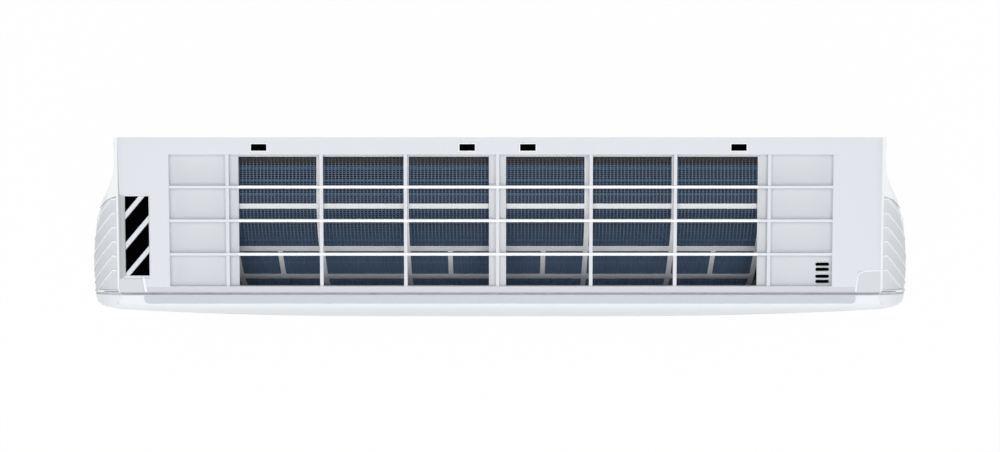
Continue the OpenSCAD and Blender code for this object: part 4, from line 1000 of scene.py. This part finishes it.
class UNIT_OT_coil(bpy.types.Operator):
    """Adds the coated fins of the three packs and paints the tubes and plates"""

    bl_idname = "unit.coil"
    bl_label = "Coil"

    def execute(self, context):
        settings = context.scene.unit_coil
        # Painted highlight for the bright bands over the fins' edges
        bright = band_coating("thin band painted highlight", settings)
        for node, slope in PACK_SLOPES.items():
            self.fins(settings, node, slope, bright)
        paint(turned_metal("copper tube", linear(214, 140, 104)), "coil_tubes", "coil_bends")
        zinc = sheet_metal("zinc plate", linear(196, 200, 204))
        paint(zinc, "coil_plate_left", "coil_plate_right")
        return {"FINISHED"}

    def fins(self, settings, node, slope, bright):
        """One rippled fin, repeated along the pack and then turned to the pack's slope."""
        turn = Matrix.Rotation(math.radians(slope), 4, "X")
        back = turn.inverted()
        corners = [back @ v.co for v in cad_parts[node].data.vertices]
        low = Vector([min(c[i] for c in corners) for i in range(3)])
        high = Vector([max(c[i] for c in corners) for i in range(3)])
        deselect()
        bpy.ops.mesh.primitive_grid_add(x_subdivisions=FIN_FOLDS, y_subdivisions=8, size=1.0)
        fin = active()
        fin.name = node + "_fins"
        margin = settings.ripple + settings.sheet
        for point in fin.data.vertices:
            across, up = point.co.x + 0.5, point.co.y + 0.5
            wave = settings.ripple * math.cos(across * FIN_FOLDS * math.pi)
            point.co = (
                low.x + margin + wave,
                low.y + up * (high.y - low.y),
                low.z + across * (high.z - low.z),
            )
        apply(fin, "SOLIDIFY", thickness=settings.sheet, offset=0.0)
        count = int((high.x - low.x - 2 * margin) / settings.pitch) + 1
        repeat(fin, count, settings.pitch)
        rows = int((high.y - low.y) / settings.row_pitch)
        first = low.y + (high.y - low.y - (rows - 1) * settings.row_pitch) / 2
        fin.data.materials.append(fin_coating(node + " coating", settings, slope, first))
        collars = self.collars(settings, low, high, rows, first)
        bands = self.bands(settings, node, low, high, bright)
        whole = join(node + "_fins", [fin, collars, *bands])
        whole.data.transform(turn)
        activate(whole)
        bpy.ops.object.shade_smooth_by_angle(angle=math.radians(30))
        settle(whole, "unit", "fin_blue", node)

    def collars(self, settings, low, high, rows, first):
        """Fin collars as one sleeve round each tube, in two rows one behind the other."""
        sleeves = []
        for index in range(rows):
            for share in TUBE_ROWS:
                place = (
                    (low.x + high.x) / 2,
                    first + index * settings.row_pitch,
                    low.z + share * (high.z - low.z),
                )
                deselect()
                bpy.ops.mesh.primitive_cylinder_add(
                    vertices=20, radius=settings.collar, depth=high.x - low.x - 0.003,
                    location=place, rotation=(0.0, math.pi / 2, 0.0),
                )
                freeze()
                sleeves.append(active())
        whole = join("collars", sleeves)
        whole.data.materials.append(collar_coating("collar coating", settings))
        return whole

    def bands(self, settings, node, low, high, bright):
        """Bright boxes along the pack: a painted highlight where the fins' edges catch the light.
        """
        outer = low.z if node == "coil_rear" else high.z
        half, inset = settings.band, 0.001
        made = []
        for place, width in PACK_BANDS[node]:
            middle = low.y + place
            band = box_piece(
                "band",
                (low.x + inset, middle - width / 2, outer - half),
                (high.x - inset, middle + width / 2, outer + half),
            )
            band.data.materials.append(bright)
            made.append(band)
        return made


class UNIT_OT_filters(bpy.types.Operator):
    """Adds the two filter frames and their nets"""

    bl_idname = "unit.filters"
    bl_label = "Filters"

    def execute(self, context):
        settings = context.scene.unit_filter
        rib = rib_plastic("filter plastic", settings)
        net = net_thread("net thread", settings)
        for side in ("left", "right"):
            node = "filter_frame_" + side
            dress("filter_ribs_" + side, node, "unit", "filter_grey", rib, 0.0005)
            self.net(settings, side, net)
        return {"FINISHED"}

    def net(self, settings, side, material):
        """The net of one filter, woven from single threads."""
        low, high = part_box("filter_mesh_" + side)
        left, right = low.x - NET_LAP, high.x + NET_LAP
        across = self.cross_threads(settings, left, right)
        along = self.long_threads(settings, left, right)
        whole = join("filter_net_" + side, [across, along])
        whole.data.materials.append(material)
        settle(whole, "unit", "mesh_dark", "filter_mesh_" + side)

    def cross_threads(self, settings, left, right):
        """Straight threads along the unit, one at each step of the filter's path."""
        half = settings.cross_thread / 2
        threads = []
        path = filter_path(settings.cross_pitch)
        first = box_piece("cross", (left, -half, -half), (right, half, half))
        for place, angle in path[1:-1]:
            thread = first.copy()
            thread.data = first.data.copy()
            bpy.context.scene.collection.objects.link(thread)
            move = Matrix.Translation((0.0, place.x, place.y))
            thread.data.transform(move @ Matrix.Rotation(angle, 4, "X"))
            threads.append(thread)
        bpy.data.objects.remove(first)
        return join("cross_threads", threads)

    def long_threads(self, settings, left, right):
        """One thread drawn out along the path, then repeated across the filter."""
        half = settings.along_thread / 2
        path = filter_path(settings.cross_pitch * 4)
        deselect()
        bpy.ops.mesh.primitive_plane_add(size=half * 2, rotation=(math.pi / 2, 0.0, 0.0))
        thread = active()
        freeze()
        start = path[0][0]
        thread.data.transform(Matrix.Translation((left + half, start.x, start.y)))
        edit(thread)
        for (before, turn_before), (after, turn_after) in zip(path, path[1:]):
            move = after - before
            step = {"value": (0.0, move.x, move.y)}
            bpy.ops.mesh.extrude_region_move(TRANSFORM_OT_translate=step)
            bpy.ops.transform.rotate(
                value=-(turn_after - turn_before), orient_axis="X",
                center_override=(left + half, after.x, after.y),
            )
        bpy.ops.mesh.select_all(action="SELECT")
        bpy.ops.mesh.normals_make_consistent(inside=False)
        leave()
        count = int((right - left - half * 2) / settings.along_pitch) + 1
        repeat(thread, count, settings.along_pitch)
        return thread


class UNIT_OT_airflow(bpy.types.Operator):
    """Adds the louver and paints the vanes, the fan, the pan and the base"""

    bl_idname = "unit.airflow"
    bl_label = "Air path"

    def execute(self, context):
        settings = context.scene.unit_casing
        gloss = moulded("louver plastic", settings.panel, 0.22, 0.02, 0.3)
        dress("louver_blade", "louver", "flap", "panel_white", gloss, 0.0008, 3, 20)
        dark = moulded("dark plastic", linear(58, 59, 62), 0.45)
        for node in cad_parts:
            if node.startswith(("vane_left", "vane_right", "link_")):
                paint(dark, node)
        paint(moulded("fan plastic", linear(52, 54, 58), 0.4), "fan_wheel")
        paint(moulded("base plastic", linear(176, 178, 182), 0.5), "chassis", "motor_cover")
        paint(moulded("pan foam", linear(232, 233, 234), 0.7, 0.2), "drain_pan")
        paint(moulded("stepper case", linear(218, 212, 194), 0.4), "louver_motor", "vane_motors")
        paint(turned_metal("shaft steel", linear(196, 198, 202)), "fan_shaft")
        paint(turned_metal("bush bronze", linear(206, 172, 110)), "bearing_bush")
        black = rubber("black rubber", (0.012, 0.012, 0.013))
        paint(black, "bearing_holder", "motor_rings", "drain_plug")
        paint(sheet_metal("motor case", linear(178, 182, 188), 0.42, 0.12), "fan_motor")
        return {"FINISHED"}


class UNIT_OT_fittings(bpy.types.Operator):
    """Paints the wall plate, the pipes, the unions and the screws"""

    bl_idname = "unit.fittings"
    bl_label = "Fittings"

    def execute(self, context):
        paint(sheet_metal("zinc wall plate", linear(190, 195, 200), 0.36, 0.3), "wall_plate")
        steel = turned_metal("screw steel", linear(206, 208, 212), 0.25, 0.15)
        paint(steel, "wall_screws", "casing_screws")
        paint(turned_metal("copper line", linear(216, 142, 106)), "liquid_line", "gas_line")
        paint(turned_metal("union brass", linear(214, 184, 112)), "liquid_union", "gas_union")
        paint(cell_foam("pipe foam", linear(232, 232, 228)), "pipe_insulation")
        return {"FINISHED"}


class UNIT_OT_controls(bpy.types.Operator):
    """Paints the control box, its boards, the sensor and the terminal block"""

    bl_idname = "unit.controls"
    bl_label = "Controls"

    def execute(self, context):
        settings = context.scene.unit_casing
        paint(moulded("box plastic", settings.vent, 0.5), "control_box")
        paint(sheet_metal("lid plate", linear(192, 196, 200)), "control_box_lid")
        board = circuit("solder mask", linear(24, 104, 62), linear(214, 216, 218))
        paint(board, "control_board", "display_board")
        paint(moulded("terminal plastic", linear(226, 220, 200), 0.4), "terminal_block")
        paint(moulded("sensor sleeve", linear(206, 120, 62), 0.4), "room_sensor")
        return {"FINISHED"}


class UNIT_PT_pieces(bpy.types.Panel):
    """Lists the pieces of the indoor unit"""

    bl_idname = "UNIT_PT_pieces"
    bl_label = "Indoor unit"
    bl_space_type = "VIEW_3D"
    bl_region_type = "UI"
    bl_category = "Indoor unit"

    def draw(self, context):
        column = self.layout.column()
        for operator in OPERATORS:
            column.operator(operator.bl_idname)
        for name, group in GROUPS.items():
            settings = getattr(context.scene, name)
            for key in group.__annotations__:
                column.prop(settings, key)


GROUPS = {
    "unit_stage": StageSettings,
    "unit_casing": CasingSettings,
    "unit_coil": CoilSettings,
    "unit_filter": FilterSettings,
}
OPERATORS = (
    UNIT_OT_stage,
    UNIT_OT_casing,
    UNIT_OT_panel,
    UNIT_OT_coil,
    UNIT_OT_filters,
    UNIT_OT_airflow,
    UNIT_OT_fittings,
    UNIT_OT_controls,
)


def register():
    for group in GROUPS.values():
        bpy.utils.register_class(group)
    for name, group in GROUPS.items():
        setattr(bpy.types.Scene, name, bpy.props.PointerProperty(type=group))
    for operator in OPERATORS:
        bpy.utils.register_class(operator)
    bpy.utils.register_class(UNIT_PT_pieces)


def unregister():
    bpy.utils.unregister_class(UNIT_PT_pieces)
    for operator in reversed(OPERATORS):
        bpy.utils.unregister_class(operator)
    for name in GROUPS:
        delattr(bpy.types.Scene, name)
    for group in reversed(list(GROUPS.values())):
        bpy.utils.unregister_class(group)


def main():
    register()
    for operator in OPERATORS:
        step = getattr(bpy.ops.unit, operator.bl_idname.split(".")[1])
        if step() != {"FINISHED"}:
            raise RuntimeError(operator.bl_label + " did not finish")


if __name__ == "__main__":
    main()
